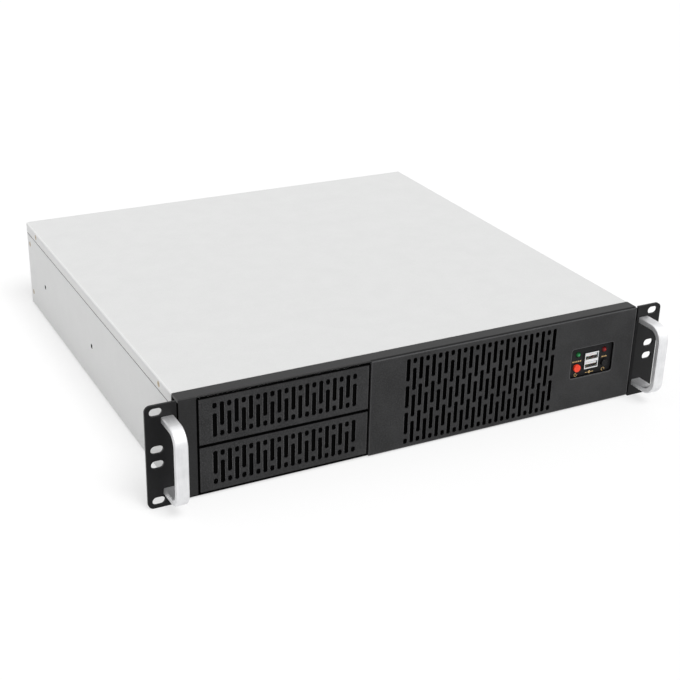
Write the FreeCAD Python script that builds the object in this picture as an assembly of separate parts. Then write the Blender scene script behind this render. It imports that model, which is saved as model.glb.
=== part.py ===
import FreeCAD, Part
import math
import os

from FreeCAD import Vector

# Empty two-unit rackmount server case.
# X runs to the right seen from the front, Y towards the rear, Z up.
# The origin is the middle of the rack panel, on the front face of the ears.

# Rack panel and ears
panel_height = 88.1
ear_width = 26.1
slot_inset = 8.75
slot_rows_outer = 76.2
slot_rows_inner = 12.7
slot_length = 10.3
slot_width = 6.8
ear_sheet = 2.0
ear_corner = 5.0
ear_bend = 1.5
ear_relief = 1.0
ear_flange_depth = 27.0
ear_flange_height = 60.0
ear_lift = 0.1
ear_screw_rows = 46.0
ear_screw_front = 8.5
ear_screw_rear = 20.5

# Body
body_width = 430.0
body_height = 86.6
body_depth = 427.0
sheet = 1.0
bend = 0.8
foot_height = 1.3
foot_radius = 9.0
foot_inset = 32.0
lip_width = 9.0
cover_flange = 10.0
rail_hole_count = 3
rail_hole_pitch = 150.0
rail_hole_height = -5.1
rail_hole_rear = 57.5
rail_hole_radius = 1.7

# Clearances
fit_gap = 0.2
seam_gap = 0.5
cover_gap = 0.1
slide_gap = 0.2
shaft_gap = 0.05
stop_gap = 0.1
thread_gap = 0.02
hole_play = 0.3

# Front frame and front plate
frame_sheet = 1.2
frame_inset = 0.4
frame_depth = 13.9
frame_lip = 8.0
frame_corner = 0.9
frame_web = 9.0
plate_sheet = 1.2
plate_edge_gap = 0.6
plate_edge_inset = 0.3
stud_radius = 1.5
stud_length = 4.6
stud_rows = 74.0
stud_edge = 9.0
control_stud_edge = 69.0

# Vents
vent_pitch = 6.0
vent_long = 18.9
vent_dot = 3.4
vent_width = 3.1
vent_web = 5.6
vent_end_facets = 4
main_field_offset = 34.3
main_field_margin = 43.0
bay_field_margin = 13.0
rear_field_margin = 10.0

# Drive bays
bay_width = 148.2
bay_left = 15.2
bay_cover_gap = 0.8
bay_side_gap = 0.5
bay_cover_front = 0.2
bay_cover_flange = 14.0
bay_screw_depth = 9.0
cage_depth = 190.0
cage_foot = 9.0
cage_screw_front = 28.5
cage_screw_rear = 19.0
cage_runner_width = 6.0
cage_runner_length = 50.0
drive_slot_length = 9.0
drive_slot_width = 3.6
drive_slot_rise = 10.0
drive_slot_front = 60.0
drive_slot_pitch = 79.2

# Handles
handle_reach = 30.0
handle_height = 66.7
handle_width = 10.0
handle_thickness = 5.4
handle_bend = 8.6
handle_outset = 8.5
handle_edge = 0.7
handle_thread_depth = 9.0

# Control window
window_from_right = 43.6
window_rise = 0.5
window_width = 45.4
window_height = 28.4
window_corner = 2.5
panel_margin = 6.0
panel_thickness = 1.6
pcb_front = 18.3
pcb_thickness = 1.6
pcb_margin = 5.6
post_inset = 3.6
post_radius = 3.0
led_spread = 28.2
led_rise = 7.2
led_radius = 2.5
led_front = 0.6
led_flange = 0.4
led_dome_rings = 5
led_lead = 0.5
button_spread = 29.6
button_drop = 5.4
power_radius = 3.5
reset_radius = 3.1
button_front = 0.4
button_flange = 0.8
button_stem = 1.7
button_travel = 1.0
stem_overlap = 1.2
switch_size = 6.0
switch_height = 3.6
usb_width = 14.6
usb_height = 15.4
usb_front = 0.8
usb_port_width = 13.2
usb_port_height = 5.4
usb_port_pitch = 7.9
usb_port_depth = 12.0
tongue_width = 11.8
tongue_thickness = 2.0
tongue_drop = 0.5
tongue_recess = 0.9

# Fans
fan_size = 80.0
fan_depth = 25.0
fan_gap = 4.0
fan_bore = 38.0
fan_hole_pitch = 71.5
fan_hole_radius = 2.2
fan_flange = 4.0
fan_corner = 4.0
fan_duct_wall = 1.4
fan_hub = 18.0
fan_hub_wall = 1.5
fan_tip_gap = 0.9
fan_blades = 7
fan_blade_chord = 24.0
fan_blade_thickness = 1.3
fan_blade_camber = 0.08
fan_root_angle = 38.0
fan_tip_angle = 26.0
fan_shaft = 1.5
fan_tube = 3.6
fan_struts = 4
fan_strut_width = 4.0
fan_strut_depth = 3.0
fan_run_gap = 1.2
fan_bracket_front = 8.0
fan_bracket_margin = 4.0
fan_side_gap = 1.0

# Rear panel
rear_return = 15.0
rear_screw_upper = 23.3
rear_screw_lower = -28.5
rear_screw_inset = 8.6
psu_center_left = 52.0
psu_center_rise = -2.0
psu_opening_width = 84.0
psu_opening_height = 60.0
psu_hole_columns = 94.0
psu_hole_rows = 54.0
psu_hole_radius = 1.9
io_width = 158.75
io_height = 44.45
io_drop = 2.2
io_edge = 1.6
slot_count = 4
slot_pitch = 20.32
slot_opening_width = 14.0
slot_opening_height = 62.0
pocket_depth = 11.4
pocket_margin = 4.0
pocket_side = 1.0
pocket_drop = 2.4
slot_edge = 10.2
bracket_width = 18.4
bracket_sheet = 0.9
bracket_tail = 3.0
slot_screw_offset = 4.6

# Main board supports
board_edge_gap = 9.0
board_width = 243.84
board_hole_edge = 6.35
board_hole_step = 157.48
board_hole_span = 203.2
board_row_edge = 10.16
board_row_step = 154.94
board_row_span = 227.33
standoff_height = 6.5
standoff_flats = 5.0
standoff_bore = 1.25
standoff_bore_depth = 5.0
standoff_stub = 1.5

# Hard drive bracket
disk_width = 69.85
disk_side_gap = 0.4
disk_height = 15.0
disk_hole_span = 76.6
disk_hole_rise = 3.0
disk_hole_radius = 1.8
disk_count = 2
disk_tier_gap = 3.0
disk_bracket_length = 106.0
disk_bracket_right = 32.0
disk_bracket_gap = 12.0
disk_screw_columns = 60.0
disk_screw_rows = 35.0

# Screws
m3_radius = 1.5
m3_head_radius = 2.8
m3_head_height = 1.7
m3_nut_flats = 5.5
m3_nut_height = 2.4
m4_radius = 2.0
m4_head_radius = 3.6
m4_head_height = 2.2
sink_radius = 2.6
cover_screw_front = 42.0
cover_screw_rear = 33.5
foot_screw_length = 0.9
head_crown = 0.62
head_rim = 0.55
recess_reach = 0.5
recess_depth = 0.5
recess_arm = 0.38

# Places worked out from the sizes
half = body_width / 2
floor_z = -(panel_height / 2 + ear_lift)
body_bottom = floor_z + foot_height
body_top = body_bottom + body_height
floor_top = body_bottom + sheet
under_cover = body_top - sheet
strip_outer = half - sheet - fit_gap
seam_z = body_top - cover_flange - seam_gap
lip_top = under_cover - cover_gap
frame_front = plate_sheet
frame_back = frame_front + frame_sheet
frame_half = half - frame_inset
opening_bottom = body_bottom + frame_sheet
opening_top = body_top - frame_sheet
tray_front = frame_depth + seam_gap
collar_outer = frame_half - frame_sheet - fit_gap
collar_bottom = opening_bottom + fit_gap
collar_top = collar_bottom + sheet
collar_front = frame_back + sheet
frame_lip_top = lip_top
frame_lip_bottom = frame_lip_top - frame_sheet
bay_x0 = -half + bay_left
bay_x1 = bay_x0 + bay_width
cage_top = frame_lip_bottom - fit_gap
bay_cover_height = (opening_top - opening_bottom - 3 * bay_cover_gap) / 2
plate_left = bay_x1 + plate_edge_gap
plate_bottom = body_bottom + plate_edge_inset
plate_top = body_top - plate_edge_gap
window_x = frame_half - window_from_right
field_left = plate_left + main_field_offset
main_columns = int((window_x - main_field_margin - field_left) / vent_pitch) + 1
field_width = vent_pitch * (main_columns - 1)
field_x = field_left + field_width / 2
field_height = 3 * vent_long + vent_dot + 3 * vent_web
ear_inner = half + fit_gap
ear_outer = ear_inner + ear_width
ear_flange_outer = ear_inner + ear_sheet
handle_x = half + handle_outset
leg_z = (handle_height - handle_thickness) / 2
fan_front = fan_bracket_front + frame_sheet
fan_spacing = fan_size + fan_gap
control_left = window_x - window_width / 2 - panel_margin
right_fan_x = control_left - fan_side_gap - fan_bracket_margin - fan_size / 2
left_fan_x = right_fan_x - fan_spacing
rear_inner = body_depth - sheet
return_outer = half - sheet - fit_gap / 2
board_x1 = half - board_edge_gap
pocket_y = body_depth - pocket_depth
board_rear = pocket_y - sheet - bracket_sheet - fit_gap
board_bottom = floor_top + standoff_height
io_x1 = board_x1 - io_edge
io_x0 = io_x1 - io_width
io_z0 = board_bottom - io_drop
slot_first_x = board_x1 - board_width + slot_edge
pocket_x0 = slot_first_x - slot_pitch / 2 - pocket_side
pocket_x1 = io_x1 + pocket_margin
slot_z0 = board_bottom
slot_z1 = slot_z0 + slot_opening_height
pocket_z0 = slot_z0 - pocket_drop
pocket_z1 = slot_z1 + pocket_margin
psu_x = -half + psu_center_left
panel_front = frame_back
panel_back = panel_front + panel_thickness
button_z = window_rise - button_drop
led_z = window_rise + led_rise
switch_front = pcb_front - switch_height
disk_y0 = fan_front + fan_depth + disk_bracket_gap
disk_y1 = disk_y0 + disk_width + 2 * (sheet + disk_side_gap)
disk_x1 = half - disk_bracket_right
disk_x0 = disk_x1 - disk_bracket_length


def box(x0, x1, y0, y1, z0, z1):
    return Part.makeBox(x1 - x0, y1 - y0, z1 - z0, Vector(x0, y0, z0))


def rod(radius, start, direction, length):
    return Part.makeCylinder(radius, length, Vector(*start), Vector(*direction))


def mirrored(shape):
    return shape.mirror(Vector(0, 0, 0), Vector(1, 0, 0))


def fused(shapes):
    return shapes[0].multiFuse(shapes[1:]).removeSplitter()


def cut(shape, tools):
    return shape.cut(Part.makeCompound(tools))


def on_front(y):
    """Drawing plane seen from the front, at depth y."""
    return lambda u, v: Vector(u, y, v)


def on_side(x):
    """Drawing plane seen from the right side, with u towards the rear."""
    return lambda u, v: Vector(x, u, v)


def on_floor(z):
    """Drawing plane seen from above."""
    return lambda u, v: Vector(u, v, z)


def rounded_wire(points, radii, place):
    """Closed outline through the points, each corner rounded by its own radius."""
    count = len(points)
    corners = []
    for index, (x, y) in enumerate(points):
        before = points[index - 1]
        after = points[(index + 1) % count]
        incoming = Vector(x - before[0], y - before[1], 0).normalize()
        outgoing = Vector(after[0] - x, after[1] - y, 0).normalize()
        radius = radii[index]
        turn = incoming.getAngle(outgoing)
        if radius < 1e-6 or turn < 1e-6:
            corners.append([Vector(x, y, 0)])
            continue
        reach = radius * math.tan(turn / 2)
        corner = Vector(x, y, 0)
        first = corner - incoming * reach
        last = corner + outgoing * reach
        inward = (outgoing - incoming).normalize()
        middle = corner + inward * (radius / math.cos(turn / 2) - radius)
        corners.append([first, middle, last])
    placed = [[place(p.x, p.y) for p in corner] for corner in corners]
    edges = []
    for index, corner in enumerate(placed):
        if len(corner) == 3:
            edges.append(Part.Arc(*corner).toShape())
        start = corner[-1]
        end = placed[(index + 1) % count][0]
        if start.distanceToPoint(end) > 1e-6:
            edges.append(Part.makeLine(start, end))
    return Part.Wire(edges)


def rectangle(x0, x1, z0, z1, place, radius=0.0):
    points = [(x0, z0), (x1, z0), (x1, z1), (x0, z1)]
    return rounded_wire(points, [radius] * 4, place)


def slot_outline(x, z, length, width, place):
    """Lying slot with round ends about a middle point."""
    return rectangle(x - length / 2, x + length / 2, z - width / 2, z + width / 2, place, width / 2)


def circle(x, z, radius, y):
    return Part.Wire(Part.makeCircle(radius, Vector(x, y, z), Vector(0, 1, 0)))


def folded(path, thickness, inner_radii, place, along):
    """Sheet folded along a path, its thickness on the left of the path, and pulled out along a vector."""
    normals = []
    for (x0, y0), (x1, y1) in zip(path, path[1:]):
        length = math.hypot(x1 - x0, y1 - y0)
        normals.append(((y0 - y1) / length, (x1 - x0) / length))
    near = []
    far = []
    far_points = []
    for index, (x, y) in enumerate(path):
        n0 = normals[max(index - 1, 0)]
        n1 = normals[min(index, len(normals) - 1)]
        share = thickness / (1 + n0[0] * n1[0] + n0[1] * n1[1])
        far_points.append((x + (n0[0] + n1[0]) * share, y + (n0[1] + n1[1]) * share))
        if index in (0, len(path) - 1):
            near.append(0.0)
            far.append(0.0)
            continue
        radius = inner_radii[index - 1]
        outer = radius + thickness if radius > 0 else 0.0
        left_turn = n0[0] * n1[1] - n0[1] * n1[0] > 0
        near.append(outer if left_turn else radius)
        far.append(radius if left_turn else outer)
    points = list(path) + far_points[::-1]
    wire = rounded_wire(points, near + far[::-1], place)
    return Part.Face(wire).extrude(along)


def perforated(outline, holes, along):
    return Part.makeFace([outline, *holes], "Part::FaceMakerBullseye").extrude(along)


def vent_outline(x, z, length, y):
    """Upright slot with faceted round ends, or a dot where it is as long as it is wide."""
    radius = vent_width / 2
    rise = max(length - vent_width, 0) / 2
    points = []
    for end in (1, -1):
        for step in range(vent_end_facets + 1):
            angle = math.pi * step / vent_end_facets
            px = x + end * radius * math.cos(angle)
            points.append(Vector(px, y, z + end * (rise + radius * math.sin(angle))))
    return Part.makePolygon(points + points[:1])


def vent_column(x, z_top, lengths, y):
    """Slots one below the other, from z_top down."""
    outlines = []
    top = z_top
    for length in lengths:
        outlines.append(vent_outline(x, top - length / 2, length, y))
        top -= length + vent_web
    return outlines


def vent_field(x_left, columns, z_middle, odd, even, y):
    """Columns of slots whose order alternates."""
    height = sum(odd) + vent_web * (len(odd) - 1)
    outlines = []
    for index in range(columns):
        lengths = even if index % 2 else odd
        outlines += vent_column(x_left + vent_pitch * index, z_middle + height / 2, lengths, y)
    return outlines


def hex_prism(center, direction, flats, length):
    """Hexagonal bar, with its middle line through the centre point."""
    radius = flats / math.sqrt(3)
    axis = Vector(*direction)
    side = Vector(0, 0, 1) if abs(axis.z) < 0.5 else Vector(1, 0, 0)
    other = axis.cross(side)
    start = Vector(*center)
    points = []
    for step in range(6):
        angle = math.radians(60 * step)
        points.append(start + side * (radius * math.cos(angle)) + other * (radius * math.sin(angle)))
    return Part.Face(Part.makePolygon(points + points[:1])).extrude(axis * length)


def nut(center, direction):
    return hex_prism(center, direction, m3_nut_flats, m3_nut_height).cut(
        rod(m3_radius + thread_gap, center, direction, m3_nut_height))


def turned(profile, start, direction):
    """Solid of revolution: the profile is (radius, height) along the direction from the start."""
    points = [Vector(r, 0, h) for r, h in profile]
    solid = Part.Face(Part.makePolygon(points + points[:1])).revolve(
        Vector(0, 0, 0), Vector(0, 0, 1), 360)
    turn = FreeCAD.Rotation(Vector(0, 0, 1), Vector(*direction))
    solid.Placement = FreeCAD.Placement(Vector(*start), turn)
    return solid


def cross_recess(start, direction, reach, depth):
    """Tool for a cross recess sunk from the start point."""
    arms = []
    for angle in (45, 135):
        width = reach * recess_arm
        arm = Part.makeBox(2 * reach, width, depth, Vector(-reach, -width / 2, 0))
        arm.rotate(Vector(0, 0, 0), Vector(0, 0, 1), angle)
        arms.append(arm)
    tool = arms[0].fuse(arms[1])
    turn = FreeCAD.Rotation(Vector(0, 0, 1), Vector(*direction))
    tool.Placement = FreeCAD.Placement(Vector(*start), turn)
    return tool


def pan_screw(seat, direction, radius, length, head_radius, head_height, crossed=True):
    """Pan head screw: the seat is the middle of the head's underside, the shank runs along the direction."""
    profile = [
        (0, -head_height),
        (head_radius * head_crown, -head_height),
        (head_radius, -head_height * head_rim),
        (head_radius, 0),
        (radius, 0),
        (radius, length),
        (0, length),
    ]
    screw = turned(profile, seat, direction)
    if not crossed:
        return screw
    top = Vector(*seat) - Vector(*direction) * head_height
    recess = cross_recess(tuple(top), direction, head_radius * recess_reach, head_height * recess_depth)
    return screw.cut(recess)


def plain_screw(seat, direction, length):
    """M3 pan head screw inside the case, without its recess."""
    return pan_screw(seat, direction, m3_radius, length, m3_head_radius, m3_head_height, False)


def sunk_screw(seat, direction, length):
    """Countersunk screw whose flat head is flush with the seat point."""
    head = sheet + fit_gap
    profile = [
        (0, 0),
        (sink_radius, 0),
        (m3_radius, head),
        (m3_radius, length),
        (0, length),
    ]
    screw = turned(profile, seat, direction)
    return screw.cut(cross_recess(seat, direction, sink_radius * recess_reach, sheet * recess_depth))


def sink_tool(seat, direction):
    """Cone that a countersunk head sits in."""
    head = sheet + fit_gap
    grow = thread_gap
    profile = [(0, 0), (sink_radius + grow, 0), (m3_radius + grow, head), (0, head)]
    return turned(profile, seat, direction)


def chassis_base():
    """Tray of one folded sheet: floor, side walls with set-in top strips, and a set-in front collar."""
    path = [
        (-strip_outer + lip_width, lip_top),
        (-strip_outer, lip_top),
        (-strip_outer, seam_z),
        (-half, seam_z),
        (-half, body_bottom),
        (half, body_bottom),
        (half, seam_z),
        (strip_outer, seam_z),
        (strip_outer, lip_top),
        (strip_outer - lip_width, lip_top),
    ]
    radii = [bend / 2, 0, 0, bend, bend, 0, 0, bend / 2]
    length = rear_inner - fit_gap - tray_front
    tray = folded(path, sheet, radii, on_front(tray_front), Vector(0, length, 0))
    inner = collar_outer - sheet
    step = box(-half, half, tray_front, tray_front + sheet, body_bottom, seam_z)
    step = step.cut(box(-inner, inner, tray_front, tray_front + sheet, collar_top, seam_z))
    collar_path = [
        (-collar_outer, seam_z),
        (-collar_outer, collar_bottom),
        (collar_outer, collar_bottom),
        (collar_outer, seam_z),
    ]
    collar_length = tray_front + sheet - collar_front
    collar = folded(collar_path, sheet, [bend, bend], on_front(collar_front), Vector(0, collar_length, 0))
    base = fused([tray, step, collar])
    reach = sheet + frame_web
    tools = [box(bay_x0 - reach, bay_x1 + reach, 0, tray_front, body_bottom, 0)]
    tools.append(box(bay_x0 - reach, bay_x1 + reach, 0, tray_front + sheet, floor_top, 0))
    screw_z = body_top - cover_flange / 2
    for y in (cover_screw_front, body_depth - cover_screw_rear):
        for side in (-1, 1):
            inner, outer = sorted((side * (strip_outer - lip_width), side * strip_outer))
            lip_cut = m3_nut_flats
            notch = m3_radius + hole_play
            tools.append(box(inner, outer, y - notch, y + notch, screw_z, body_top))
            tools.append(rod(notch, (inner, y, screw_z), (1, 0, 0), outer - inner))
            lip_inner, lip_outer = sorted((side * (strip_outer - lip_width), side * (strip_outer - sheet)))
            tools.append(box(lip_inner, lip_outer, y - lip_cut, y + lip_cut, seam_z, body_top))
    for index in range(rail_hole_count):
        y = body_depth - rail_hole_rear - rail_hole_pitch * index
        start = (-half - sheet, y, rail_hole_height)
        tools.append(rod(rail_hole_radius, start, (1, 0, 0), body_width + 2 * sheet))
    for side in (-1, 1):
        for z in (-ear_screw_rows / 2, ear_screw_rows / 2):
            for y in (ear_screw_front, ear_screw_rear):
                start = side * (half + sheet)
                tools.append(rod(m4_radius + thread_gap, (start, y, z), (-side, 0, 0), 5 * sheet))
        for z in (rear_screw_upper, rear_screw_lower):
            start = side * (half + sheet)
            y = body_depth - rear_screw_inset
            tools.append(rod(m3_radius + hole_play, (start, y, z), (-side, 0, 0), 3 * sheet))
            tools.append(sink_tool((side * half, y, z), (-side, 0, 0)))
    for x, y in standoff_places():
        tools.append(rod(standoff_stub + thread_gap, (x, y, body_bottom - sheet), (0, 0, 1), 3 * sheet))
    for x, y in disk_screw_places() + cage_screw_places():
        tools.append(rod(m3_radius + thread_gap, (x, y, body_bottom - sheet), (0, 0, 1), 3 * sheet))
    for x in fan_foot_places():
        start = (x, fan_foot_depth(), body_bottom)
        tools.append(rod(m3_radius + thread_gap, start, (0, 0, 1), 5 * sheet))
    base = cut(base, tools)
    feet = []
    for x in (-half + foot_inset, half - foot_inset):
        for y in (tray_front + foot_inset, body_depth - foot_inset):
            outer = Part.makeCone(foot_radius - sheet, foot_radius, foot_height, Vector(x, y, floor_z))
            inner = Part.makeCone(
                foot_radius - 2 * sheet, foot_radius - sheet, foot_height, Vector(x, y, floor_z + sheet))
            base = base.cut(inner)
            feet.append(outer.cut(inner))
    return fused([base, *feet])


def top_cover():
    """Flat cover with two side flanges, countersunk for its screws."""
    path = [
        (-half, body_top - cover_flange),
        (-half, body_top),
        (half, body_top),
        (half, body_top - cover_flange),
    ]
    length = body_depth - tray_front
    cover = folded(path[::-1], sheet, [bend, bend], on_front(tray_front), Vector(0, length, 0))
    tools = []
    for seat, direction in cover_screw_places():
        tools.append(sink_tool(seat, direction))
        tools.append(rod(m3_radius + thread_gap, seat, direction, 2 * sheet))
    return cut(cover, tools)


def cover_screw_places():
    """Flush point and direction of each cover screw."""
    places = []
    for side in (-1, 1):
        for y in (cover_screw_front, body_depth - cover_screw_rear):
            places.append(((side * half, y, body_top - cover_flange / 2), (-side, 0, 0)))
    return places


def cover_screws():
    length = half - strip_outer + sheet + m3_nut_height + fit_gap
    return [sunk_screw(seat, direction, length) for seat, direction in cover_screw_places()]


def cover_nuts():
    """Captive nuts behind the open notches of the side strips."""
    nuts = []
    for (x, y, z), (dx, dy, dz) in cover_screw_places():
        depth = half - strip_outer + sheet + thread_gap
        nuts.append(nut((x + dx * depth, y, z), (dx, dy, dz)))
    return nuts


def front_frame():
    """Black folded frame round the drive bays and behind the front plate."""
    y = frame_front
    thickness = Vector(0, frame_sheet, 0)
    outline = rectangle(-frame_half, bay_x0, opening_bottom, opening_top, on_front(y))
    pillar = perforated(outline, [], thickness)
    reach = field_width / 2 + frame_web
    rise = (field_height + vent_width) / 2
    holes = [
        rectangle(field_x - reach, field_x + reach, -rise, rise, on_front(y), window_corner),
        window_outline(y),
    ]
    holes += [circle(x, z, stud_radius + hole_play, y) for x, z in stud_places()]
    holes += [circle(x, z, m3_radius + thread_gap, y) for x, z in post_places()]
    outline = rectangle(bay_x1, frame_half, opening_bottom, opening_top, on_front(y))
    face = perforated(outline, holes, thickness)
    width = Vector(2 * frame_half, 0, 0)
    top = Part.Face(rounded_wire(
        [(y, opening_top), (frame_depth, opening_top), (frame_depth, body_top), (y, body_top)],
        [0, 0, 0, frame_corner], on_side(-frame_half))).extrude(width)
    bottom = Part.Face(rounded_wire(
        [(y, body_bottom), (frame_depth, body_bottom), (frame_depth, opening_bottom), (y, opening_bottom)],
        [frame_corner, 0, 0, 0], on_side(-frame_half))).extrude(width)
    lip = box(bay_x1 + sheet, strip_outer - lip_width - fit_gap, frame_depth - frame_sheet,
              frame_depth + frame_lip, frame_lip_bottom, frame_lip_top)
    left = box(-frame_half, -frame_half + frame_sheet, y, frame_depth, opening_bottom, opening_top)
    frame = fused([pillar, face, top, bottom, lip, left, mirrored(left)])
    tools = []
    for side in (-1, 1):
        for z in (-ear_screw_rows / 2, ear_screw_rows / 2):
            start = (side * half, ear_screw_front, z)
            tools.append(rod(m4_radius + hole_play, start, (-side, 0, 0), 3 * frame_sheet))
    for x in fan_foot_places():
        start = (x, fan_foot_depth(), body_bottom - sheet)
        tools.append(rod(m3_radius + hole_play, start, (0, 0, 1), 3 * frame_sheet))
    return cut(frame, tools)


def window_outline(y):
    """Outline of the control window at depth y."""
    reach = window_width / 2
    rise = window_height / 2
    return rectangle(window_x - reach, window_x + reach, window_rise - rise, window_rise + rise,
                     on_front(y), window_corner)


def stud_places():
    """Weld studs of the front plate, as x and z."""
    columns = (plate_left + stud_edge, frame_half - control_stud_edge, frame_half - stud_edge)
    return [(x, z) for x in columns for z in (-stud_rows / 2, stud_rows / 2)]


def front_plate():
    """Flat vent plate with the control window and its weld studs."""
    y = frame_front - plate_sheet
    outline = rectangle(plate_left, frame_half, plate_bottom, plate_top, on_front(y))
    odd = [vent_long, vent_long, vent_long, vent_dot]
    holes = vent_field(field_left, main_columns, 0, odd, odd[::-1], y)
    holes.append(window_outline(y))
    plate = perforated(outline, holes, Vector(0, plate_sheet, 0))
    studs = [rod(stud_radius, (x, y + plate_sheet / 2, z), (0, 1, 0), stud_length + plate_sheet / 2)
             for x, z in stud_places()]
    return fused([plate, *studs])


def front_plate_nuts():
    return [nut((x, frame_back, z), (0, 1, 0)) for x, z in stud_places()]


def bay_cover(z_bottom, dot_first):
    """Vented blank cover of one drive bay, with a side flange at each end."""
    x0 = bay_x0 + bay_side_gap
    x1 = bay_x1 - bay_side_gap
    y = bay_cover_front
    z_top = z_bottom + bay_cover_height
    z_middle = (z_bottom + z_top) / 2
    lengths = [vent_dot, vent_long] if dot_first else [vent_long, vent_dot]
    columns = int((x1 - x0 - 2 * bay_field_margin) / vent_pitch) + 1
    left = (x0 + x1) / 2 - vent_pitch * (columns - 1) / 2
    holes = vent_field(left, columns, z_middle, lengths, lengths[::-1], y)
    rim = bend + sheet
    plate = perforated(
        rectangle(x0 + rim, x1 - rim, z_bottom, z_top, on_front(y)), holes, Vector(0, sheet, 0))
    flanges = []
    left_path = [(x0, bay_cover_flange), (x0, y), (x0 + rim, y)]
    right_path = [(x1 - rim, y), (x1, y), (x1, bay_cover_flange)]
    for path in (left_path, right_path):
        flanges.append(folded(path, sheet, [bend], on_floor(z_bottom), Vector(0, 0, bay_cover_height)))
    cover = fused([plate, *flanges])
    start = (x0 - sheet, bay_screw_depth, z_middle)
    return cut(cover, [rod(m3_radius + thread_gap, start, (1, 0, 0), x1 - x0 + 2 * sheet)])


def bay_cover_bottoms():
    lower = opening_bottom + bay_cover_gap
    return lower, lower + bay_cover_height + bay_cover_gap


def bay_cover_screws():
    screws = []
    for bottom in bay_cover_bottoms():
        z = bottom + bay_cover_height / 2
        for x, direction in ((bay_x0 - sheet, 1), (bay_x1 + sheet, -1)):
            length = 3 * sheet + bay_side_gap
            screws.append(plain_screw((x, bay_screw_depth, z), (direction, 0, 0), length))
    return screws


def cage_screw_places():
    """Screws that hold the drive cage to the floor, as x and y."""
    places = []
    for x in (bay_x0 - sheet - cage_foot / 2, bay_x1 + sheet + cage_foot / 2):
        for y in (tray_front + cage_screw_front, cage_depth - cage_screw_rear):
            places.append((x, y))
    return places


def drive_cage():
    """Two folded side walls with runners between the bays, joined by a rear tie across the floor."""
    front = tray_front + sheet + fit_gap
    length = cage_depth - front
    walls = []
    left_path = [
        (bay_x0 - sheet - cage_foot, floor_top),
        (bay_x0, floor_top),
        (bay_x0, cage_top),
        (bay_x0 - sheet - cage_runner_width, cage_top),
    ]
    right_path = [
        (bay_x1 + sheet + cage_runner_width, cage_top),
        (bay_x1, cage_top),
        (bay_x1, floor_top),
        (bay_x1 + sheet + cage_foot, floor_top),
    ]
    for path in (left_path, right_path):
        walls.append(folded(path, sheet, [0, 0], on_front(front), Vector(0, length, 0)))
    nose_bottom = opening_bottom + fit_gap
    nose_front = frame_back + fit_gap
    walls.append(box(bay_x0 - sheet, bay_x0, nose_front, front + sheet, nose_bottom, cage_top))
    walls.append(box(bay_x1, bay_x1 + sheet, nose_front, front + sheet, nose_bottom, cage_top))
    lower, upper = bay_cover_bottoms()
    for y in (drive_slot_front - cage_runner_length / 2, cage_depth - cage_runner_length - cage_foot):
        for x0, x1 in ((bay_x0, bay_x0 + cage_runner_width), (bay_x1 - cage_runner_width, bay_x1)):
            walls.append(box(x0, x1, y, y + cage_runner_length, upper - sheet, upper))
    tie_y = cage_depth - cage_foot
    walls.append(box(bay_x0 - sheet, bay_x1 + sheet, tie_y, cage_depth, floor_top, floor_top + sheet))
    cage = fused(walls)
    tools = []
    for x, y in cage_screw_places():
        tools.append(rod(m3_radius + hole_play, (x, y, floor_top - sheet), (0, 0, 1), 3 * sheet))
    for x in (bay_x0 - 2 * sheet, bay_x1 - sheet):
        for bottom in (lower, upper):
            z = bottom + drive_slot_rise
            for y in (drive_slot_front, drive_slot_front + drive_slot_pitch):
                slot = slot_outline(y, z, drive_slot_length, drive_slot_width, on_side(x))
                tools.append(Part.Face(slot).extrude(Vector(3 * sheet, 0, 0)))
            middle = bottom + bay_cover_height / 2
            tools.append(rod(m3_radius + hole_play, (x, bay_screw_depth, middle), (1, 0, 0), 3 * sheet))
    return cut(cage, tools)


def drive_cage_screws():
    screws = []
    for x, y in cage_screw_places():
        seat = (x, y, floor_top + sheet)
        length = sheet + foot_screw_length
        screws.append(plain_screw(seat, (0, 0, -1), length))
    return screws


def rack_ear():
    """Right ear: an angle of sheet with four rack slots in its front and a flange along the body."""
    path = [(ear_inner, ear_flange_depth), (ear_inner, 0), (ear_outer, 0)]
    bottom = floor_z + ear_lift
    ear = folded(path, ear_sheet, [ear_bend], on_floor(bottom), Vector(0, 0, panel_height))
    bend_end = ear_inner + ear_sheet + ear_bend
    tools = []
    for side in (-1, 1):
        z0, z1 = sorted((side * ear_flange_height / 2, side * panel_height))
        tools.append(box(ear_inner - sheet, bend_end, -sheet, ear_flange_depth + sheet, z0, z1))
    ear = cut(ear, tools)
    flat = box(ear_inner + ear_relief, bend_end, 0, ear_sheet, bottom, bottom + panel_height)
    reach = ear_flange_height / 2
    middle = box(ear_inner, bend_end, -sheet, ear_flange_depth, -reach, reach)
    ear = fused([ear, flat.cut(middle)])
    plan = rounded_wire(
        [(0, bottom), (ear_outer, bottom), (ear_outer, bottom + panel_height), (0, bottom + panel_height)],
        [0, ear_corner, ear_corner, 0], on_front(-sheet))
    ear = ear.common(Part.Face(plan).extrude(Vector(0, ear_flange_depth + 2 * sheet, 0)))
    tools = []
    x = ear_outer - slot_inset
    for rows in (slot_rows_outer, slot_rows_inner):
        for z in (-rows / 2, rows / 2):
            slot = slot_outline(x, z, slot_length, slot_width, on_front(-sheet))
            tools.append(Part.Face(slot).extrude(Vector(0, ear_sheet + 2 * sheet, 0)))
    for z in (-leg_z, leg_z):
        tools.append(rod(m3_radius + hole_play, (handle_x, -sheet, z), (0, 1, 0), ear_sheet + 2 * sheet))
    for z in (-ear_screw_rows / 2, ear_screw_rows / 2):
        for y in (ear_screw_front, ear_screw_rear):
            start = ear_inner - sheet
            tools.append(rod(m4_radius + hole_play, (start, y, z), (1, 0, 0), ear_sheet + 2 * sheet))
    return cut(ear, tools)


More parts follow.
